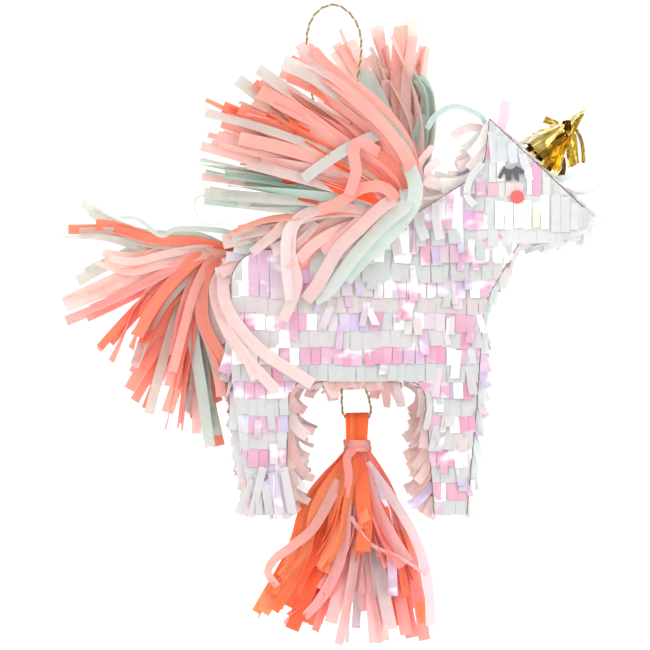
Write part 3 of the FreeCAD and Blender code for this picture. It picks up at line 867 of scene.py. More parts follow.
def rimFringe(name, style, seed):
    rng = random.Random(seed)
    fringe, band = style["nodes"]
    film, tissue = newStock(), newStock()
    start, end = outlineReach(band)
    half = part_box(band)[1][1] - rimSizes["inset"]
    rows = max(int((end - start) / (style.get("pitch", 6.6) * mm)), 1)
    for row in range(rows + 1):
        run = start + (end - start) * (row + 0.4) / (rows + 0.8)
        y = -half
        while y < half - 1 * mm:
            width = rimSizes["strip"] * rng.uniform(0.85, 1.15)
            middle = min(y + width / 2, half - 1 * mm)
            y += width + 0.1 * mm
            place, heading, outward = outlinePoint(run + rng.uniform(-1.0, 1.0) * mm)
            if name == "back" and abs(place[0] + 6 * mm) < 9 * mm and abs(middle) < 5 * mm:
                continue
            cut = style
            if name == "forehead" and abs(middle) < 9 * mm:       # strips stop short of the horn
                past = float(np.dot(place - rimSizes["hornRoot"], heading))
                if -11 * mm < past < 7.5 * mm:
                    continue
                if past < 0:
                    cut = dict(style, long=(3, max(3, min(12, -past / mm - 8))))
            onFilm = rng.random() < style["film"]
            if onFilm:
                paint = filmPaint(rng, rimSizes["steps"], rng.uniform(0.3, 1))
            else:
                paint = shaded(rng, style["colours"], 0.03)
            ruffleStrip(film if onFilm else tissue, rng, place, heading, outward, middle, half, cut, width,
                        paint)
    slotName = {"crest": "pink_tissue", "frontLegInner": "peach_tissue", "hindLegInner": "peach_tissue"}
    cutPiece(name + "Rim", tissue, "tissue", "shell", slotName.get(name, "pale_tissue"), fringe)
    if film["count"]:
        cutPiece(name + "RimFilm", film, "film", "shell", "iridescent_film")


for number, (rimName, rimStyle) in enumerate(rimStyles.items()):
    rimFringe(rimName, rimStyle, 40 + number)
print("rim fringed")


# a few long ribbons at the ear and along the forelock
def curveThrough(points, count):
    # a smooth line through a few places, in millimetres
    spots = np.array(points, float)
    slopes = np.gradient(spots, axis=0)
    line = []
    for k in range(len(spots) - 1):
        a, b = spots[k], spots[k + 1]
        part = bezier(a, a + slopes[k] / 3, b - slopes[k + 1] / 3, b, count)
        line.append(part if k == len(spots) - 2 else part[:-1])
    return np.concatenate(line) * mm


earRibbons = [
    # places from root to tip, width, colour, twist
    ([(68, -14, -54), (64, -17, -50), (54, -20, -47), (46, -22, -51), (42, -21, -57)], 3.8, "DDEDE7",
     (0.5, 0.9)),
    ([(74, -10, -58), (76, -12, -52), (77.3, -13, -43.5)], 4.4, "FAE2EC", (0.2, -0.1)),
    ([(70, -8, -57), (61, -16, -56), (53, -21, -60)], 4.4, "F7EBEB", (0.1, 0.5)),
    ([(70.5, -22.4, -58), (71.3, -23.0, -65), (71.8, -23.4, -72)], 4.0, "F3F5F5", (0.1, 0.1)),
    ([(74.6, -22.4, -60), (75.0, -23.0, -66), (75.6, -23.3, -71.5)], 4.0, "EFF3F3", (0.0, -0.1)),
    ([(79.0, -22.4, -63), (79.4, -23.0, -68), (80.2, -23.3, -72)], 3.8, "F4F4F6", (0.0, 0.2)),
    ([(84.0, -22.4, -68), (85.0, -23.2, -73), (87.4, -23.4, -80)], 3.6, "F6F6F8", (0.0, -0.2)),
    ([(66.5, -22.4, -72), (61, -24.2, -79), (59.3, -24.8, -86), (62.6, -25.0, -91)], 3.0, "F1F3F2",
     (0.3, 0.2)),
    ([(101, -12, -81), (108, -16, -85), (115, -18, -84), (119, -18, -82)], 1.8, "E8ECEE", (0.6, 1.0)),
    ([(99, -14, -79), (104, -20, -78), (108, -22, -76)], 3.0, "E8EDED", (0.6, 1.0)),
    ([(44, -12, -86), (38, -16, -74), (44, -20, -64)], 4.2, "FAE6E4", (0.4, 0.9)),
    ([(48, -14, -84), (42, -18, -76), (47, -21, -70)], 4.4, "F8EFEE", (0.1, 0.6)),
    ([(40, -20.5, -92), (38, -24, -98), (41, -25.5, -106)], 4.4, "F2F4F2", (0.1, 0.3)),
    ([(46, -22.4, -90), (46, -24.2, -98), (47.5, -24.8, -106)], 4.2, "F4F1F2", (0.1, 0.3)),
]


def earStrips():
    tissue = newStock()
    for places, width, code, twist in earRibbons:
        addStrand(tissue, curveThrough(places, 8), width * mm, (0.15, -1, 0.2), twist, np.array(srgb(code)))
    cutPiece("earRibbons", tissue, "tissue", "shell", "pink_tissue")


earStrips()
print("ear ribbons set")


# gathered tissue: locks of strands that share a spine and spread towards their ends
strandMixes = {
    # colour and its share of the strands
    "coral": [("FFD0C6", 4), ("FFBBA9", 3), ("F6DAD5", 2), ("E8E3DD", 1), ("FFA98F", 1)],
    "warm": [("FFC4B4", 4), ("FFB095", 3), ("FFD0C4", 2), ("E5E4DE", 1)],
    # deep: strong orange strands set inside the wing as painted shade, where overlapping tissue looks deeper
    "deep": [("FF8552", 5), ("FF9E73", 3), ("F37761", 2)],
    "pale": [("F6DAD6", 4), ("F1E2DE", 2), ("E9E2DC", 2), ("E4E8E2", 1), ("FFD0C6", 2)],
    "haze": [("F9E0DA", 4), ("FFCABB", 3), ("E9EBE5", 2), ("F4E6E3", 3), ("FFB39D", 1)],
    "peach": [("FFE8E2", 5), ("FFDCD4", 3), ("FDEDEA", 2)],
    "mint": [("E2E8E2", 4), ("D6E6DE", 3), ("E8E6E0", 2), ("F6DDD8", 1)],
    "orange": [("FFB384", 5), ("FFBD96", 3), ("FF9F6F", 2)],
    "red": [("FF8A60", 6), ("FF9B75", 4)],
    "pink": [("FFC8C1", 5), ("FFBCB5", 3), ("FAD0CD", 2)],
    "blush": [("F7D6D3", 4), ("F2DCDD", 3), ("EEE2E2", 2)],
}
# the two root colours darken and warm each strand near its root: painted shade where the strands gather, deep
# orange for warm mixes and milder for pale ones
strandSizes = {"steps": 15, "rootPaintedShade": (1.0, 0.70, 0.58), "paleRootPaintedShade": (1.0, 0.90, 0.86)}


def mixedColour(rng, mix):
    codes = [code for code, share in strandMixes[mix] for _ in range(share)]
    return shaded(rng, codes, 0.03)


def lockStrands(stock, film, rng, lock, width, rootDepth):
    count, spread, yRoot, yTip, mix, places = lock
    steps = strandSizes["steps"]
    full = [(x, yRoot + (yTip - yRoot) * k / (len(places) - 1), z) for k, (x, z) in enumerate(places)]
    spine, _ = evenPath(curveThrough(full, 9), 1.2 * mm)
    for k in range(count):
        reach = rng.uniform(0.72, 1.04) if k > 1 else rng.uniform(0.97, 1.05)
        spots = np.linspace(0, min(reach, 1) * (len(spine) - 1), steps)
        line = np.stack([np.interp(spots, np.arange(len(spine)), spine[:, a]) for a in range(3)], axis=1)
        t = np.linspace(0, 1, steps)
        if reach > 1:
            line = line + (line[-1] - line[-2]) * (t[:, None] ** 4) * (reach - 1) * 12
        stray = np.array([rng.gauss(0, spread), rng.gauss(0, 2.2), rng.gauss(0, spread)]) * mm
        bend = np.array([rng.gauss(0, 0.5), rng.gauss(0, 0.4), rng.gauss(0, 0.5)]) * spread * mm
        root = np.array([rng.uniform(-1.5, 1.5), rng.uniform(-rootDepth, rootDepth),
                         rng.uniform(-1.5, 1.5)]) * mm
        line = line + root + stray * t[:, None] ** 1.3 + bend * np.sin(t * math.pi)[:, None]
        phase, beat = rng.uniform(0, 6), rng.uniform(1.5, 4.5)
        line[:, 1] += np.sin(t * beat * math.pi + phase) * t * 1.1 * mm
        rootTwist = rng.gauss(0, 0.4)
        tipTwist = rng.gauss(0, 0.5) if rng.random() < 0.7 else rng.choice([-1, 1]) * rng.uniform(1.0, 2.2)
        twist = (rootTwist, tipTwist)
        wide = rng.uniform(*width) * mm
        if mix == "film":
            addStrand(film, line, wide * 0.8, (0, -1, 0.1), twist,
                      filmPaint(rng, steps, rng.uniform(0.5, 1)), cup=0.1, pinch=0.4)
            continue
        # painted shade at the root, fading out over the first stretch of the strand
        glow = np.array(strandSizes["paleRootPaintedShade" if mix in ("mint", "pale", "haze", "blush") else "rootPaintedShade"])
        fade = np.clip(t * 2.6, 0, 1)[:, None]
        paint = mixedColour(rng, mix) * (glow * (1 - fade) + fade)
        addStrand(stock, line, wide, (0, -1, 0.1), twist, paint, cup=rng.uniform(-0.03, 0.09), pinch=0.4)


def lockPiece(name, seed, locks, width, rootDepth, body, slotName, *nodes):
    rng = random.Random(seed)
    stock, film = newStock(), newStock()
    for lock in locks:
        lockStrands(stock, film, rng, lock, width, rootDepth)
    if film["count"]:
        cutPiece(name + "Film", film, "film", body, "iridescent_film")
    return cutPiece(name, stock, "tissue", body, slotName, *nodes)


# each lock: strands, spread, depth at root and tip, colour mix, and its spine from root to tip
nearWingLocks = [
    (16, 4.0, -27, -33, "coral", [(33.3, -95.9), (32, -77.3), (18.6, -58.2), (-3.6, -40.4), (-20.9, -32.4)]),
    (10, 3.5, -26, -31, "pale", [(33.7, -95), (33.3, -72.8), (18.6, -51.9), (-3.6, -32.4), (-13.3, -21.8)]),
    (14, 4.0, -27, -34, "coral", [(32.9, -95.8), (27.5, -78.6), (5.3, -60.8), (-19.1, -46.2), (-34.2, -36)]),
    (16, 4.0, -28, -35, "warm", [(32.4, -95.7), (20.9, -80.4), (-3.6, -65.3), (-28, -53.7), (-44.8, -45.7)]),
    (12, 4.0, -29, -36, "coral", [(32, -96.6), (18.6, -83.9), (-3.6, -72.8), (-30.2, -62.6), (-51.9, -55.5)]),
    (12, 3.5, -29, -37, "pale", [(31.5, -97), (16.4, -86.1), (-5.8, -78.6), (-31.5, -70.6), (-52.4, -64.8)]),
    (10, 3.0, -28, -34, "mint", [(31.5, -97.5), (16.4, -89.7), (-10.2, -83.9), (-36.9, -79.5),
                                 (-57.7, -76.8)]),
    (8, 2.6, -27, -31, "mint", [(31.5, -97.9), (16.4, -93.2), (-10.2, -91.5), (-34.6, -89.7),
                                (-55.9, -87.5)]),
    # the two deep locks lie inside the wing as its painted shade
    (9, 5.0, -28, -34, "deep", [(31.5, -96.6), (20.9, -88.4), (5.3, -83.9), (-12.4, -78.6), (-25.8, -73.3)]),
    (7, 4.0, -28, -34, "deep", [(31.5, -95.7), (23.1, -83.9), (7.5, -72.8), (-8, -63.9), (-21.3, -57.3)]),
    (12, 2.6, -26, -19, "haze", [(31, -97.5), (12, -97.5), (-8, -98.5), (-28, -101.5), (-46, -106)]),
    (8, 2.4, -26, -25, "haze", [(31, -97.5), (15, -97.5), (0, -101), (-12, -108), (-20, -118)]),
    (8, 2.6, -26, 4, "haze", [(31, -97), (10, -98), (-10, -100.5), (-28, -103), (-44, -107)]),
]
farWingLocks = [
    (12, 4.0, 26, 33, "peach", [(35.5, -96), (36.6, -70), (36.6, -49.2), (37.1, -28.5), (38.9, -7.7)]),
    (10, 4.5, 26, 35, "peach", [(35.1, -96), (35.7, -70), (32.9, -49.2), (27.8, -28.5), (21.4, -5.1)]),
    (14, 6.0, 25, 30, "peach", [(35.1, -96), (35.7, -72.2), (33.4, -53.8), (28.7, -37.6), (24.2, -25.1)]),
    (12, 5.0, 25, 31, "peach", [(34.6, -96), (33.4, -70), (24.2, -49.2), (13.6, -30.7), (4.7, -14.1)]),
    (8, 6.0, 25, 32, "pale", [(35.1, -96), (34.8, -70), (27.4, -49.2), (20, -33), (13.6, -22.4)]),
    (8, 3.5, 25, 28, "mint", [(35.5, -96), (38, -72.2), (41.2, -53.8), (42.2, -37.6), (36.6, -27)]),
    (12, 5.0, 26, 33, "peach", [(34.2, -96), (28.7, -72.2), (14.9, -51.5), (1.1, -35.3), (-9.5, -22.4)]),
    (12, 5.0, 26, 34, "warm", [(33, -96), (23, -77.4), (4.3, -62.9), (-14.4, -50.4), (-31.1, -41)]),
    (10, 5.0, 27, 36, "pale", [(33, -96), (20.9, -82.6), (0.1, -72.2), (-20.7, -62.9), (-39.4, -56.6)]),
]
tailLocks = [
    (2, 1.2, -1, -5, "mint", [(-44.8, -110.7), (-59.1, -106.1), (-81.3, -105.2), (-95.5, -99.9),
                              (-107.9, -91.5)]),
    (5, 1.6, -3, -10, "warm", [(-44.8, -110.7), (-61.3, -107.4), (-81.3, -106.6), (-99.9, -102.1),
                               (-120.3, -102.1)]),
    (5, 2.5, -3, -8, "peach", [(-45.3, -111.6), (-59.1, -108.8), (-76.8, -111.4), (-92.4, -115.9),
                               (-108.8, -113.7)]),
    (3, 1.6, 2, 4, "mint", [(-45.7, -111.6), (-61.3, -107.9), (-81.3, -107.4), (-99, -115),
                            (-113.2, -122.5)]),
    (5, 2.0, 0, -6, "peach", [(-45.7, -111.4), (-61.3, -110.6), (-80.4, -116.8), (-99.9, -125.7),
                              (-119.4, -133.6)]),
    (5, 2.0, -2, -10, "pink", [(-45.7, -111.4), (-61.3, -113.2), (-81.3, -124.3), (-100.8, -134.1),
                               (-118.5, -142.1)]),
    (6, 3.0, 4, 8, "coral", [(-45.7, -111.4), (-61.3, -112.3), (-77.7, -119.4), (-92.4, -123.9),
                             (-104.3, -128.3)]),
    (3, 1.4, -2, -8, "coral", [(-46.2, -111.9), (-59.1, -114.1), (-74.1, -123.4), (-90.1, -139),
                               (-103.5, -153.6)]),
    (10, 3.2, -1, -9, "warm", [(-46.2, -112.3), (-59.1, -114.1), (-71.5, -123), (-83.5, -137.2),
                               (-93.7, -160.3)]),
    (9, 3.2, -1, 3, "coral", [(-46.6, -112.8), (-56.8, -114.6), (-65.3, -124.8), (-75, -143.9),
                              (-92.8, -170.1)]),
    (8, 3.0, 2, 7, "warm", [(-46.6, -112.8), (-56.8, -115.9), (-65.3, -132.8), (-73.3, -155.8),
                            (-82.1, -177.2)]),
    (9, 3.0, -2, -9, "coral", [(-46.6, -112.8), (-55.5, -116.3), (-63.5, -132.8), (-69.7, -159.4),
                               (-75, -186)]),
    (8, 3.0, 2, -3, "pale", [(-46.6, -113.2), (-54.6, -117.7), (-60.8, -137.2), (-63.5, -168.3),
                             (-65.3, -193.1)]),
    (6, 3.0, -1, -5, "mint", [(-46.6, -113.2), (-55.5, -117.7), (-60.8, -139.4), (-56.8, -166.1),
                              (-53.7, -191.4)]),
    (8, 3.4, 2, 6, "coral", [(-46.6, -113.7), (-55.5, -119.4), (-59.1, -141.6), (-58.2, -170.5),
                             (-53.3, -194.9)]),
    (6, 2.4, -4, -12, "coral", [(-46.2, -113.2), (-56.4, -118.5), (-57.3, -139.4), (-47.5, -160.3),
                                (-43.1, -178.9)]),
    (5, 2.4, -1, -7, "warm", [(-45.7, -113.7), (-52.8, -121.7), (-50.2, -140.7), (-46.6, -158.5),
                              (-44.4, -173.6)]),
]
lockPiece("nearWing", 101, nearWingLocks, (4.4, 7.0), 2.4, "shell", "wing_tissue", "near_wing_tissue",
          "near_wing_gather")
lockPiece("farWing", 102, farWingLocks, (4.4, 7.0), 2.4, "shell", "wing_tissue", "far_wing_tissue",
          "far_wing_gather")
lockPiece("tailStrands", 103, tailLocks, (3.8, 6.0), 2.5, "shell", "wing_tissue", "tail_tissue",
          "tail_gather")
print("wings and tail gathered")

# single strands that fall out of the wing and the tail, over the body
looseStrands = [
    # places from root to tip, width, colour, twist
    ([(20, -31, -60), (9, -38, -65), (-2, -40.5, -72), (-13, -40.5, -80)], 5.2, "E4E8E4", (0.1, 0.3)),
    ([(20, -33, -68), (12, -39, -64), (9, -41, -68), (10, -41, -77), (7, -41, -87)], 5.2, "FFCCC5",
     (0.1, 0.4)),
    ([(31, -30, -93), (23, -36, -84), (13, -39, -84), (3, -39, -90), (-6, -39, -94)], 5.4, "FFCABF",
     (0.2, 0.4)),
    ([(33, -31, -73), (36, -35, -82), (35, -34, -91), (27, -32, -102), (14, -29, -114), (5, -27, -124)],
     6.4, "E1ECE7", (0.1, -0.2)),
    ([(32, -31, -84), (32, -34, -91), (23, -33, -99), (10, -30, -113), (-1, -27, -128), (-8, -26, -133)],
     6.0, "E9EDE9", (0.0, 0.4)),
    ([(30, -31, -88), (23, -35, -91), (11, -33, -102), (2, -30, -111), (-6, -27, -125), (-12, -26, -133)],
     6.0, "F9E5E2", (0.2, 0.2)),
    ([(21, -31, -93), (-1, -33, -92), (-16, -31, -98), (-19, -27, -111), (-16, -26, -126),
      (-22, -26, -142)], 5.6, "F8E9E6", (0.2, 0.5)),
    ([(16, -31, -94), (-6, -32, -95), (-19, -30, -101), (-21, -27, -116), (-19, -26, -133)], 4.6, "F3EBE9",
     (0.3, -0.4)),
    ([(25, -30, -92), (3, -32, -94), (-15, -30, -96), (-31, -27, -98), (-47, -18, -104)], 4.8, "FFCEC0",
     (0.5, 0.9)),
    ([(27, -31, -88), (16, -33, -95), (5, -30, -104), (-5, -27, -111)], 5.4, "FBD8D6", (0.1, 0.3)),
    ([(-20, -27, -97), (-26, -26.5, -104), (-36, -26, -112)], 5.2, "F8E8E4", (0.2, 0.6)),
    ([(-8, -27, -98), (-15, -26.5, -106), (-27, -26, -111)], 5.6, "FAEBE9", (0.4, 0.1)),
    ([(-6, -25, -99), (-24, -24, -101), (-42, -20, -104)], 5.0, "F5EEEB", (0.3, 0.4)),
    ([(-37, -30, -92), (-57, -33, -87), (-61, -33, -92), (-57, -31, -99), (-47, -27, -99)], 1.8, "E4EBE7",
     (0.9, 1.3)),
    ([(-45, -8, -106), (-49, -12, -102), (-69, -14, -101), (-77, -15, -104), (-87, -16, -97),
      (-95, -16, -96)], 3.2,
     "E1EDE8", (0.4, 1.1)),
    ([(-47, -6, -115), (-49, -18, -124), (-46, -25.5, -138), (-32, -26.5, -155), (-9, -26.5, -170)], 5.4,
     "F8E6E4", (0.2, 0.2)),
    ([(-48, -6, -116), (-52, -16, -130), (-47, -25.5, -146), (-37, -26.5, -160), (-25, -26.5, -173)], 5.2,
     "FAE8E6", (0.1, 0.3)),
    ([(-48, -6, -116), (-53, -15, -128), (-48, -25, -144), (-40, -26.5, -155), (-34, -26.5, -168)], 4.8,
     "F7E4E1", (0.1, -0.3)),
]
tasselStrands = [
    ([(3, -4, -214), (-8, -8, -234), (-18, -9, -243), (-26, -9, -249), (-29, -8, -255), (-25, -8, -261)],
     5.0, "FDD7CF", (0.3, 0.9)),
    ([(15, -3, -206), (28, -5, -224), (38, -6, -242), (43, -6, -261), (44, -6, -279)], 4.6, "F3E5E8",
     (0.4, 0.2)),
    ([(8, -8, -230), (17, -10, -242), (30, -10, -248), (42, -8, -256)], 2.4, "FADCDC", (0.8, 1.1)),
    ([(9, -5, -200), (6.4, -7, -204), (7.2, -8.5, -212), (5.8, -8.5, -221)], 4.0, "FFC6BD", (0.2, 0.7)),
]


def drapeLoose(name, strands, seed, body, slotName):
    rng = random.Random(seed)
    stock = newStock()
    for places, width, code, twist in strands:
        addStrand(stock, curveThrough(places, 8), width * mm, (0, -1, 0.1), twist,
                  shaded(rng, [code], 0.02), cup=0.06)
    cutPiece(name, stock, "tissue", body, slotName)


drapeLoose("looseStrands", looseStrands, 104, "shell", "wing_tissue")
print("loose strands draped")


# belly door fringe
doorSizes = {"strip": 4.4 * mm, "step": 6.0 * mm, "row": 4.6 * mm, "edge": 19.6 * mm}
# peach tissue made a little darker as painted shade of the underside, where the door faces down
doorTissue = ["F2DAD7", "F3E0DE", "EFD2CD", "EFE2E1"]


def doorFringe(seed):
    rng = random.Random(seed)
    stock = newStock()
    low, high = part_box("belly_door_fringe")
    windowLow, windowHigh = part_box("tassel_twine_knots")
    y = low[1]
    while y < high[1] - 3 * mm:
        x = low[0]
        while x < high[0] - 3 * mm:
            width = doorSizes["strip"] * rng.uniform(0.9, 1.1)
            middle = min(y + width / 2, high[1] - width / 2)
            nearTwine = windowLow[0] - 2 * mm < x < windowHigh[0] + 2 * mm and abs(middle) < 5 * mm
            if not nearTwine:
                way = -1 if x < (low[0] + high[0]) / 2 else 1
                long = rng.uniform(8, 12) * mm
                underTwine = middle < 0 and windowLow[0] - 1 * mm < x < windowHigh[0] + 2 * mm
                dip = math.radians(rng.uniform(2, 7) if underTwine else rng.uniform(8, 40))
                p0 = np.array([x, middle, high[2] - 0.1 * mm])
                p3 = p0 + np.array([way * long * math.cos(dip), rng.gauss(0, 0.6) * mm,
                                    -long * math.sin(dip)])
                p3[0] = min(max(p3[0], low[0] - 1 * mm), high[0] + 1 * mm)
                line = bezier(p0, p0 + np.array([way * long * 0.3, 0, -0.3 * mm]),
                              p3 + np.array([-way, 0, 0.6]) * long * 0.2, p3, 7)
                addStrand(stock, line, width, (0, 0, -1), (0, rng.gauss(0, 0.25)),
                          shaded(rng, doorTissue, 0.05), cup=0.04)
            x += doorSizes["step"]
        y += doorSizes["row"]
    for side in (-1, 1):                   # strips that hang over the door's two long edges
        x = low[0] + 1.5 * mm
        while x < high[0] - 2 * mm:
            atTwine = windowLow[0] - 3 * mm < x < windowHigh[0] + 5 * mm
            long = rng.uniform(3.0, 5.0) * mm if atTwine else rng.uniform(6, 12) * mm
            spot = np.array([x, side * doorSizes["edge"], high[2] - 0.2 * mm])
            slant = rng.gauss(0, 0.5)
            end = spot + np.array([math.sin(slant) * long, side * rng.uniform(-2.0, 0.6) * mm,
                                   -math.cos(slant) * long])
            line = bezier(spot, spot + np.array([0, side * 0.8 * mm, -long * 0.3]),
                          end + np.array([0, 0, long * 0.3]), end, 7)
            addStrand(stock, line, rng.uniform(4.0, 5.4) * mm, (0, side, 0),
                      (rng.gauss(0, 0.2), rng.gauss(0, 0.5)),
                      shaded(rng, doorTissue, 0.03), cup=0.04)
            x += rng.uniform(2.8, 4.2) * mm
    cutPiece("bellyDoorFringe", stock, "tissue", "door", "peach_tissue", "belly_door_fringe")


doorFringe(120)
print("door fringed")


# horn: foil sheets folded round the cone, with a few cut strips standing off it
foilGolds = ["DDB75A", "EBD084", "C09536", "9A7426", "F4E6B6", "6E4C14"]
foilSheets = [
    # one edge from base to tip, the other edge, how far the sheet bellies out, colour; for the near side
    # the colours run from near white to near black: painted highlights and painted shade on the creased gold
    # foil, sheet by sheet
    ([(83.6, 1, -61.4), (93, 2, -56.4), (103, 2.4, -51.2), (113.4, 0.6, -46.2)],
     [(88.0, 7.5, -62.4), (96, 6.5, -57.0), (104, 4.4, -52.8), (113.3, 0.9, -46.8)], 0.6, "F7EED4"),
    ([(88.0, 7.5, -62.0), (96, 6.8, -57.2), (101.5, 5.4, -54.6), (104, 4.6, -53.2)],
     [(92.0, 9.4, -67.4), (97.6, 8.4, -62.6), (101.2, 6.4, -58.6), (104.4, 4.8, -56.4)], 1.2, "D8BE6E"),
    ([(91.2, 9.0, -66.6), (97.2, 8.2, -62.2), (100.6, 7.0, -60.4), (103.6, 5.6, -58.4)],
     [(96.2, 8.6, -71.6), (99.8, 8.6, -67.4), (102.4, 7.6, -63.6), (105.2, 5.8, -60.4)], 1.0, "8A661E"),
    ([(95.4, 8.6, -71.0), (98.6, 9.4, -67.2), (101.4, 8.6, -63.6), (104.8, 6.4, -59.8)],
     [(100.4, 5.4, -75.6), (102.4, 7.8, -70.6), (104.6, 7.4, -65.2), (107.2, 5.6, -60.4)], 1.2, "C98A1C"),
    ([(104.2, 4.8, -56.6), (106, 4.8, -55.0), (109, 3.4, -52.4), (113.1, 0.9, -48.4)],
     [(107.0, 4.6, -60.6), (108.6, 3.6, -57.6), (110.6, 2.4, -53.6), (113.2, 0.6, -48.9)], 0.5, "A8842E"),
    ([(104.0, 3.8, -53.0), (106.5, 3.4, -51.6), (109.4, 2.4, -49.6), (113.3, 0.9, -46.8)],
     [(105.6, 4.6, -55.2), (107.6, 4.0, -53.6), (110.0, 2.8, -51.2), (113.2, 0.9, -48.2)], 0.4, "EFE0A8"),
    ([(103.2, 4.6, -52.0), (104.4, 5.4, -51.8), (105.8, 5.4, -51.8), (107.0, 4.6, -52.0)],
     [(103.8, 5.2, -56.2), (104.8, 6.0, -56.4), (106.0, 6.0, -56.4), (107.2, 5.2, -56.2)], 0.2, "3E2808"),
    ([(100.8, 6.0, -53.4), (97.4, 7.4, -54.8), (94.0, 8.4, -56.0), (90.8, 8.8, -56.6)],
     [(101.2, 6.2, -54.8), (98.2, 7.6, -56.4), (95.2, 8.6, -57.6), (92.8, 9.0, -58.4)], 0.3, "EADB9E"),
    ([(101.6, 5.6, -52.6), (99.6, 6.6, -51.8), (97.4, 7.2, -50.9), (95.6, 7.4, -50.1)],
     [(101.2, 5.8, -54.2), (99.2, 6.8, -53.4), (97.0, 7.4, -52.6), (94.6, 7.6, -51.9)], 0.2, "B8963E"),
    ([(106.8, 5.4, -58.8), (106.0, 8.0, -63.8), (106.2, 8.8, -68.4), (107.0, 8.8, -72.6)],
     [(109.4, 4.6, -57.6), (109.8, 7.0, -62.8), (110.0, 8.0, -67.2), (110.4, 8.0, -71.2)], 0.5, "D2AE4A"),
    ([(109.2, 2.0, -56.2), (111.2, 4.4, -60.4), (112.0, 5.6, -65.2), (112.2, 5.8, -70.2)],
     [(110.2, 1.6, -55.4), (112.4, 3.6, -60.0), (113.2, 5.0, -65.0), (113.6, 5.2, -70.6)], 0.2, "A98A3A"),
    ([(102.2, 7.4, -62.0), (101.0, 9.6, -66.8), (99.6, 10.4, -70.4), (98.2, 10.2, -74.2)],
     [(104.8, 7.0, -61.6), (103.4, 9.2, -66.4), (102.2, 10.0, -70.2), (101.0, 9.8, -74.8)], 0.4, "E29C1E"),
]


hornFacts = {"tip": (113.4, 0, -46.6), "way": (0.5954, 0.0, 0.8035), "long": 35.5 * mm, "base": 7.2,
             "point": 0.5,
             "wraps": 10, "flares": 12, "flareFrom": 23 * mm, "flareOut": 5.4 * mm}


def foilHorn(seed):
    rng = random.Random(seed)
    stock = newStock()
    rows, columns = 13, 7
    for side in (-1, 1):
        for first, second, belly, code in foilSheets:
            edgeA, edgeB = curveThrough(first, 5), curveThrough(second, 5)
            grid = np.zeros((rows, columns, 3))
            shift = rng.uniform(0, 99)
            for c in range(columns):
                u = c / (columns - 1)
                grid[:, c] = edgeA * (1 - u) + edgeB * u
                for r in range(rows):
                    crease = noise.noise(Vector((r * 0.28, c * 0.35, shift))) * 0.8
                    grid[r, c, 1] += (belly * math.sin(u * math.pi) + crease * min(1, belly + 0.4)) * mm
            if side > 0:
                grid[:, :, 0] += rng.uniform(-0.6, 0.6) * mm
            grid[:, :, 1] *= side
            # each sheet's colour, with a painted sheen that changes row by row along it
            paint = np.array(srgb(code)) * rng.uniform(0.94, 1.06)
            shine = np.array([0.85 + 0.3 * rng.random() for _ in range(rows)])[:, None]
            addSheet(stock, grid, np.minimum(paint * shine, 1), 0.08 * mm)
    # the wrap behind them, round the cone itself
    tip, way = np.array(hornFacts["tip"]) * mm, np.array(hornFacts["way"])
    across, deep = np.array([0, 1.0, 0]), np.cross(way, [0, 1.0, 0])
    for k in range(hornFacts["wraps"]):
        grid = []
        for r in range(9):
            share = r / 8
            radius = (hornFacts["base"] * (1 - share) + hornFacts["point"] * share) * mm
            row = []
            for c in range(3):
                turn = (k + c / 2 * 1.12) / hornFacts["wraps"] * 2 * math.pi
                out = radius + rng.uniform(-0.1, 0.35) * mm
                spoke = across * math.cos(turn) + deep * math.sin(turn)
                row.append(tip - way * hornFacts["long"] * (1 - share) + spoke * out)
            grid.append(row)
        addSheet(stock, grid, shaded(rng, foilGolds, 0.08), 0.08 * mm)
    for k in range(hornFacts["flares"]):   # short strips flared round the base
        turn = (k + rng.uniform(-0.3, 0.3)) / hornFacts["flares"] * 2 * math.pi
        out = across * math.cos(turn) + deep * math.sin(turn)
        start = tip - way * hornFacts["flareFrom"] + out * hornFacts["flareOut"]
        end = start + (out * rng.uniform(0.25, 0.6) - way) * rng.uniform(9, 13) * mm
        line = bezier(start, start + (out - way * 0.4) * 3 * mm, end + way * 3 * mm, end, 8)
        addStrand(stock, line, rng.uniform(2.6, 4.0) * mm, tuple(out), (rng.gauss(0, 0.1), rng.gauss(0, 0.4)),
                  shaded(rng, foilGolds, 0.1), cup=rng.uniform(0, 0.15))
    cutPiece("foilHorn", stock, "foil", "shell", "gold_foil", "horn_foil_fringe")


foilHorn(131)
print("horn foiled")


# closed eyelashes, cut from dark paper and stuck over the fringe
lashShape = [
    (72.9, -78.7), (74.2, -79.2), (75.6, -76.6), (76.9, -77.0), (76.6, -80.0), (79.0, -79.8), (79.0, -76.9),
    (79.9, -76.8), (80.6, -79.4), (82.5, -80.4), (82.2, -76.6), (84.8, -76.9), (84.6, -75.2), (82.4, -74.1),
    (81.1, -73.1), (80.3, -74.4), (78.6, -75.1), (76.9, -74.7), (75.7, -73.2), (74.6, -75.3),
]


def stickFlat(name, shape, outward, start, thick, finish, slotName, *nodes):
    # a flat shape cut from paper, with a rounded edge
    ring = np.array(shape) * mm
    count = len(ring)
    inner = ring + (ring.mean(axis=0) - ring) * 0.03
    layers = [(ring, start), (ring, start + thick * 0.7), (inner, start + thick)]
    points = [(x, outward * y, z) for edge, y in layers for x, z in edge]
    faces = [tuple(range(count))[::outward], tuple(range(2 * count, 3 * count))[::-outward]]
    for level in (0, 1):
        for k in range(count):
            a, b = level * count + k, level * count + (k + 1) % count
            faces.append((a, b, b + count, a + count)[::-outward])
    mesh = bpy.data.meshes.new(name)
    mesh.from_pydata(points, [], faces)
    mesh.materials.append(finishes[finish])
    setPiece(name, mesh, "shell", slotName, *nodes)


def roundShape(x, z, radius, count):
    turn = [2 * math.pi * k / count for k in range(count)]
    return [(x + radius * math.cos(a), z + radius * math.sin(a)) for a in turn]


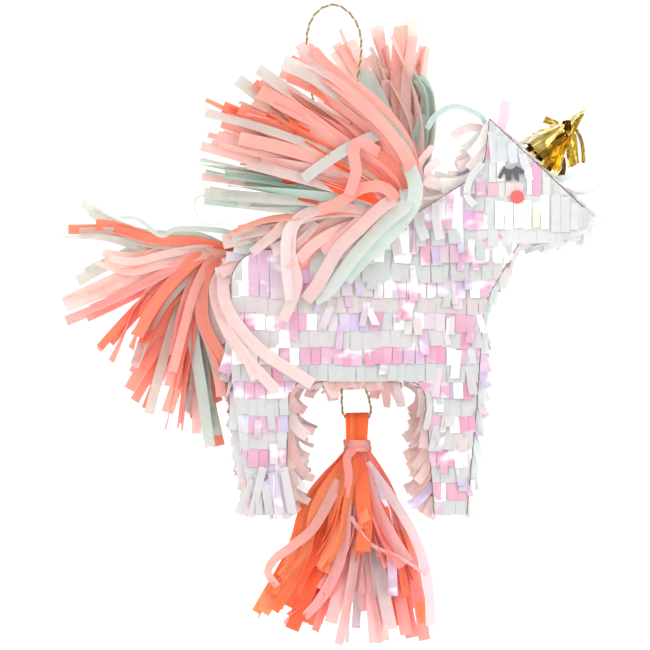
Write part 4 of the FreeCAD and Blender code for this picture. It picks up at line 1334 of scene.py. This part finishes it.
facePaper = {"start": 23.9 * mm, "thick": 0.5 * mm, "cheek": (81.6, -87.2, 3.0)}
for sideName, outwardWay in (("near", -1), ("far", 1)):
    stickFlat(sideName + "Lash", lashShape, outwardWay, facePaper["start"], facePaper["thick"], "lash",
              "dark_paper", sideName + "_eyelash")
    stickFlat(sideName + "Cheek", roundShape(*facePaper["cheek"], 40), outwardWay, facePaper["start"],
              facePaper["thick"], "cheek", "coral_paper",
              sideName + "_cheek_dot")
print("faces set")


# tassel: tissue folded over the twine, tied, and cut into strands
tasselOranges = ["FF9E62", "FFA86E", "FF9256"]
tasselSizes = {"pleats": 15, "foldHeight": -186.6, "foldRadius": 3.0, "tieTurns": 6, "tieWide": 5.7 * mm,
               "tieDeep": 4.2 * mm}
tasselLocks = [
    (14, 3.4, 0, -6, "orange", [(9.3, -199.5), (0.4, -211.8), (-9.3, -226.9), (-15.5, -248.2),
                                (-31.5, -271.3)]),
    (10, 3.0, 0, 6, "orange", [(9.8, -199.5), (4, -212.7), (-4.9, -234.9), (-12.4, -254.9), (-19.1, -272.6)]),
    (6, 2.6, 0, -8, "red", [(10.2, -199.5), (5.8, -217.1), (-0.4, -234.9), (-7.5, -252.6), (-16, -271.3)]),
    (8, 3.0, 0, -9, "pink", [(10.2, -199.5), (7.5, -221.6), (5.3, -244.6), (-4.9, -264.2), (-18.2, -276.6)]),
    (8, 3.2, 0, 5, "pink", [(10.7, -199.5), (8.4, -221.6), (5.8, -243.8), (0.4, -262.4), (-4.9, -279.3)]),
    (6, 2.6, 0, -7, "blush", [(11.1, -199.5), (10.2, -223.8), (9.3, -246), (7.5, -266), (5.3, -283.7)]),
    (4, 2.6, 0, 3, "film", [(11.5, -199.5), (11.1, -226), (10.7, -248.2), (10.2, -266), (8.9, -283.7)]),
    (7, 3.0, 0, -5, "blush", [(12, -199.5), (12.9, -221.6), (14.7, -243.8), (17.3, -266), (20.4, -283.7)]),
    (7, 3.0, 0, 6, "pink", [(12.4, -199.5), (14.7, -217.1), (17.3, -239.3), (24.4, -260.6), (30.6, -277.5)]),
    (3, 2.2, 0, -8, "film", [(12.4, -199.5), (17.3, -212.7), (22.6, -228.2), (24.4, -241.5), (26.2, -261.5)]),
    (7, 2.8, 0, -3, "pink", [(12.9, -199.5), (18.2, -210.9), (25.3, -230.4), (32.4, -254.9), (37.3, -278.4)]),
    (9, 2.6, 0, 2, "orange", [(12.9, -199.5), (19.1, -212.7), (27.1, -234.9), (30.7, -257.1),
                              (35.3, -276.7)]),
    (6, 2.6, 0, -6, "red", [(12.4, -199.5), (17, -212.7), (23.4, -229), (28.2, -245), (32, -262)]),
    (6, 2.8, 0, -4, "pink", [(11.1, -199.5), (8.4, -212.7), (3.1, -234.9), (-1.3, -252.6), (-10.2, -266)]),
    (12, 2.8, 0, -9, "orange", [(10.5, -199.5), (7, -212), (3, -226), (0, -240), (-6, -252)]),
    (6, 2.6, 0, -9, "orange", [(11.2, -199.5), (13, -211), (14.5, -223), (15, -236), (13, -247)]),
    (6, 2.6, 0, -8, "pink", [(11.5, -199.5), (14, -212), (17, -226), (22, -240), (27, -252)]),
]


def pleatColour(rng, k):
    return shaded(rng, tasselOranges, 0.03) * (np.array([1, 0.82, 0.74]) if k % 3 == 1 else 1)


def tieTassel(seed):
    rng = random.Random(seed)
    head, tie = newStock(), newStock()
    headLow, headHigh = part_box("tassel_head")
    tieLow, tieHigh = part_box("tassel_tie")
    x0 = (headLow[0] + headHigh[0]) / 2 / mm
    neck = (tieLow[2] + tieHigh[2]) / 2 / mm
    axisZ, radius, pleats, turns = [tasselSizes[fact] for fact in ("foldHeight", "foldRadius", "pleats",
            "tieTurns")]
    for k in range(pleats):                # pleats over the twine
        share = (k + 0.5) / pleats * 2 - 1
        bump = 0.5 * ((k % 2) * 2 - 1) + rng.uniform(-0.15, 0.15)
        grid = []
        for r in range(17):
            t = r / 16
            if t < 0.3:
                y, z, out = -radius, neck + (axisZ - neck) * t / 0.3, (0, -1)
            elif t > 0.7:
                y, z, out = radius, neck + (axisZ - neck) * (1 - t) / 0.3, (0, 1)
            else:
                angle = math.pi * (1 - (t - 0.3) / 0.4)
                out = (math.sin(angle), math.cos(angle))
                y, z = radius * out[1], axisZ + radius * out[0]
            middle = x0 + share * (5.2 - 0.9 * abs(2 * t - 1)) - 0.4 * abs(2 * t - 1)
            ripple = bump * 0.35 * math.sin(t * math.pi) ** 0.5
            grid.append([((middle + c * 0.62) * mm, (y + out[1] * ripple * (1 - abs(c))) * mm,
                          (z + out[0] * ripple * (1 - abs(c)) + 0.1 * share) * mm) for c in (-1, 0, 1)])
        addSheet(head, grid, pleatColour(rng, k), 0.16 * mm)
    for k in range(turns):                 # the tie, a band of tissue wound round
        z = tieLow[2] + (tieHigh[2] - tieLow[2]) * (k + 0.5) / turns
        tilt = rng.uniform(-0.5, 0.5) * mm
        line = []
        for r in range(29):
            turn = 2 * math.pi * r / 28
            out = 1 + 0.05 * math.sin(3 * turn + k) + 0.03 * math.sin(7 * turn + 2 * k)
            line.append((x0 * mm + math.cos(turn) * out * tasselSizes["tieWide"],
                         math.sin(turn) * out * tasselSizes["tieDeep"], z + tilt * math.cos(turn)))
        addStrand(tie, line, 1.5 * mm, (0, 0, 1), (1.4 + rng.gauss(0, 0.2), 1.4 + rng.gauss(0, 0.2)),
                  shaded(rng, ["FFC9C0", "FFC0B7", "FCD2CC"], 0.03), thick=0.5 * mm, cup=0.1)
    cutPiece("tasselHead", head, "tissue", "tassel", "tassel_tissue", "tassel_head")
    cutPiece("tasselTie", tie, "tissue", "tassel", "pink_tissue", "tassel_tie")


lockPiece("tasselSkirt", 140, tasselLocks, (4.2, 6.6), 1.6, "tassel", "tassel_tissue", "tassel_skirt")
drapeLoose("tasselLoose", tasselStrands, 142, "tassel", "tassel_tissue")
tieTassel(141)
print("tassel tied")


# knot of tissue at the tail's root
knotFacts = {"wraps": 26, "radius": 4.4, "half": 5, "strip": 4.0 * mm,
             "tissue": ["B9C4A4", "E8A08C", "FF8A64", "C9D8C8"]}


def tailKnot(seed):
    rng = random.Random(seed)
    stock = newStock()
    low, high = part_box("tail_gather")
    root = (np.array(low) + np.array(high)) / 2
    radius, half = knotFacts["radius"], knotFacts["half"]
    for k in range(knotFacts["wraps"]):
        turn = rng.uniform(0, 2 * math.pi)
        line = []
        for r in range(9):
            a = turn + r / 8 * math.pi * rng.uniform(0.9, 1.0)
            y = -half + 2 * half * (k + 0.5) / knotFacts["wraps"]
            line.append(root + np.array([math.cos(a) * radius, y, math.sin(a) * radius]) * mm)
        twist = (rng.gauss(0, 0.4), rng.gauss(0, 0.5))
        addStrand(stock, line, knotFacts["strip"], (0.3, 0.2, 1), twist,
                  shaded(rng, knotFacts["tissue"], 0.06))
    cutPiece("tailKnot", stock, "tissue", "shell", "wing_tissue")


tailKnot(150)


# card edges that show as dark lines beside the fringe: the cut board's own edge, made darker as painted shade
# of the gap between panel and rim
def edgeAndGapShadeLines():
    stock = newStock()
    for node in ("back_band", "crest_band", "forehead_band", "chest_band", "front_leg_inner_band",
                 "hind_leg_inner_band"):
        start, end = outlineReach(node)
        count = int((end - start) / (1.5 * mm))
        for outward in (-1, 1):
            line = []
            for k in range(count + 1):
                place, _, out = outlinePoint(start + (end - start) * k / count)
                line.append((place[0] + out[0] * 0.12 * mm, outward * abs(nearFace) + outward * 0.15 * mm,
                             place[1] + out[1] * 0.12 * mm))
            addTube(stock, line, 0.2 * mm, 5, srgb("6E5A4C"))
    cutPiece("cardEdgesAndGapShade", stock, "edge", "shell", "card")


edgeAndGapShadeLines()


# finishes for the card pieces that stay as they are
linedNodes = [
    "near_side_panel", "far_side_panel", "forehead_band", "muzzle_band", "chest_band", "front_hoof_sole",
    "front_leg_inner_band", "hind_leg_inner_band", "hind_hoof_sole", "hind_leg_outer_band", "back_band",
    "crest_band",
]
keptFinishes = {name: "linedCard" for name in linedNodes}
keptFinishes.update({
    "hanger_patch": "card", "belly_door": "card", "belly_door_patch": "card",
    "hinge_tape_upper": "tape", "hinge_tape_lower": "tape", "horn_cone": "foilBase",
})
for nodeName, finishName in keptFinishes.items():
    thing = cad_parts[nodeName]
    thing.data.materials.clear()
    thing.data.materials.append(finishes[finishName])
print("card finished")


# floor
floorMesh = bpy.data.meshes.new("studioFloor")
reach, drop = 3.0, cadBox[0][2] - 0.06
floorMesh.from_pydata([(-reach, -reach, drop), (reach, -reach, drop), (reach, reach, drop),
                       (-reach, reach, drop)], [], [(0, 1, 2, 3)])
floor = bpy.data.objects.new("studioFloor", floorMesh)
scene.collection.objects.link(floor)
floorFinish, _, _, floorShader = newFinish("paleFloor")
floorShader.inputs["Base Color"].default_value = (0.9, 0.9, 0.9, 1)
floorShader.inputs["Roughness"].default_value = 0.9
floorShader.inputs["Emission Color"].default_value = (1, 1, 1, 1)
floorShader.inputs["Emission Strength"].default_value = 0.45
floorMesh.materials.append(floorFinish)
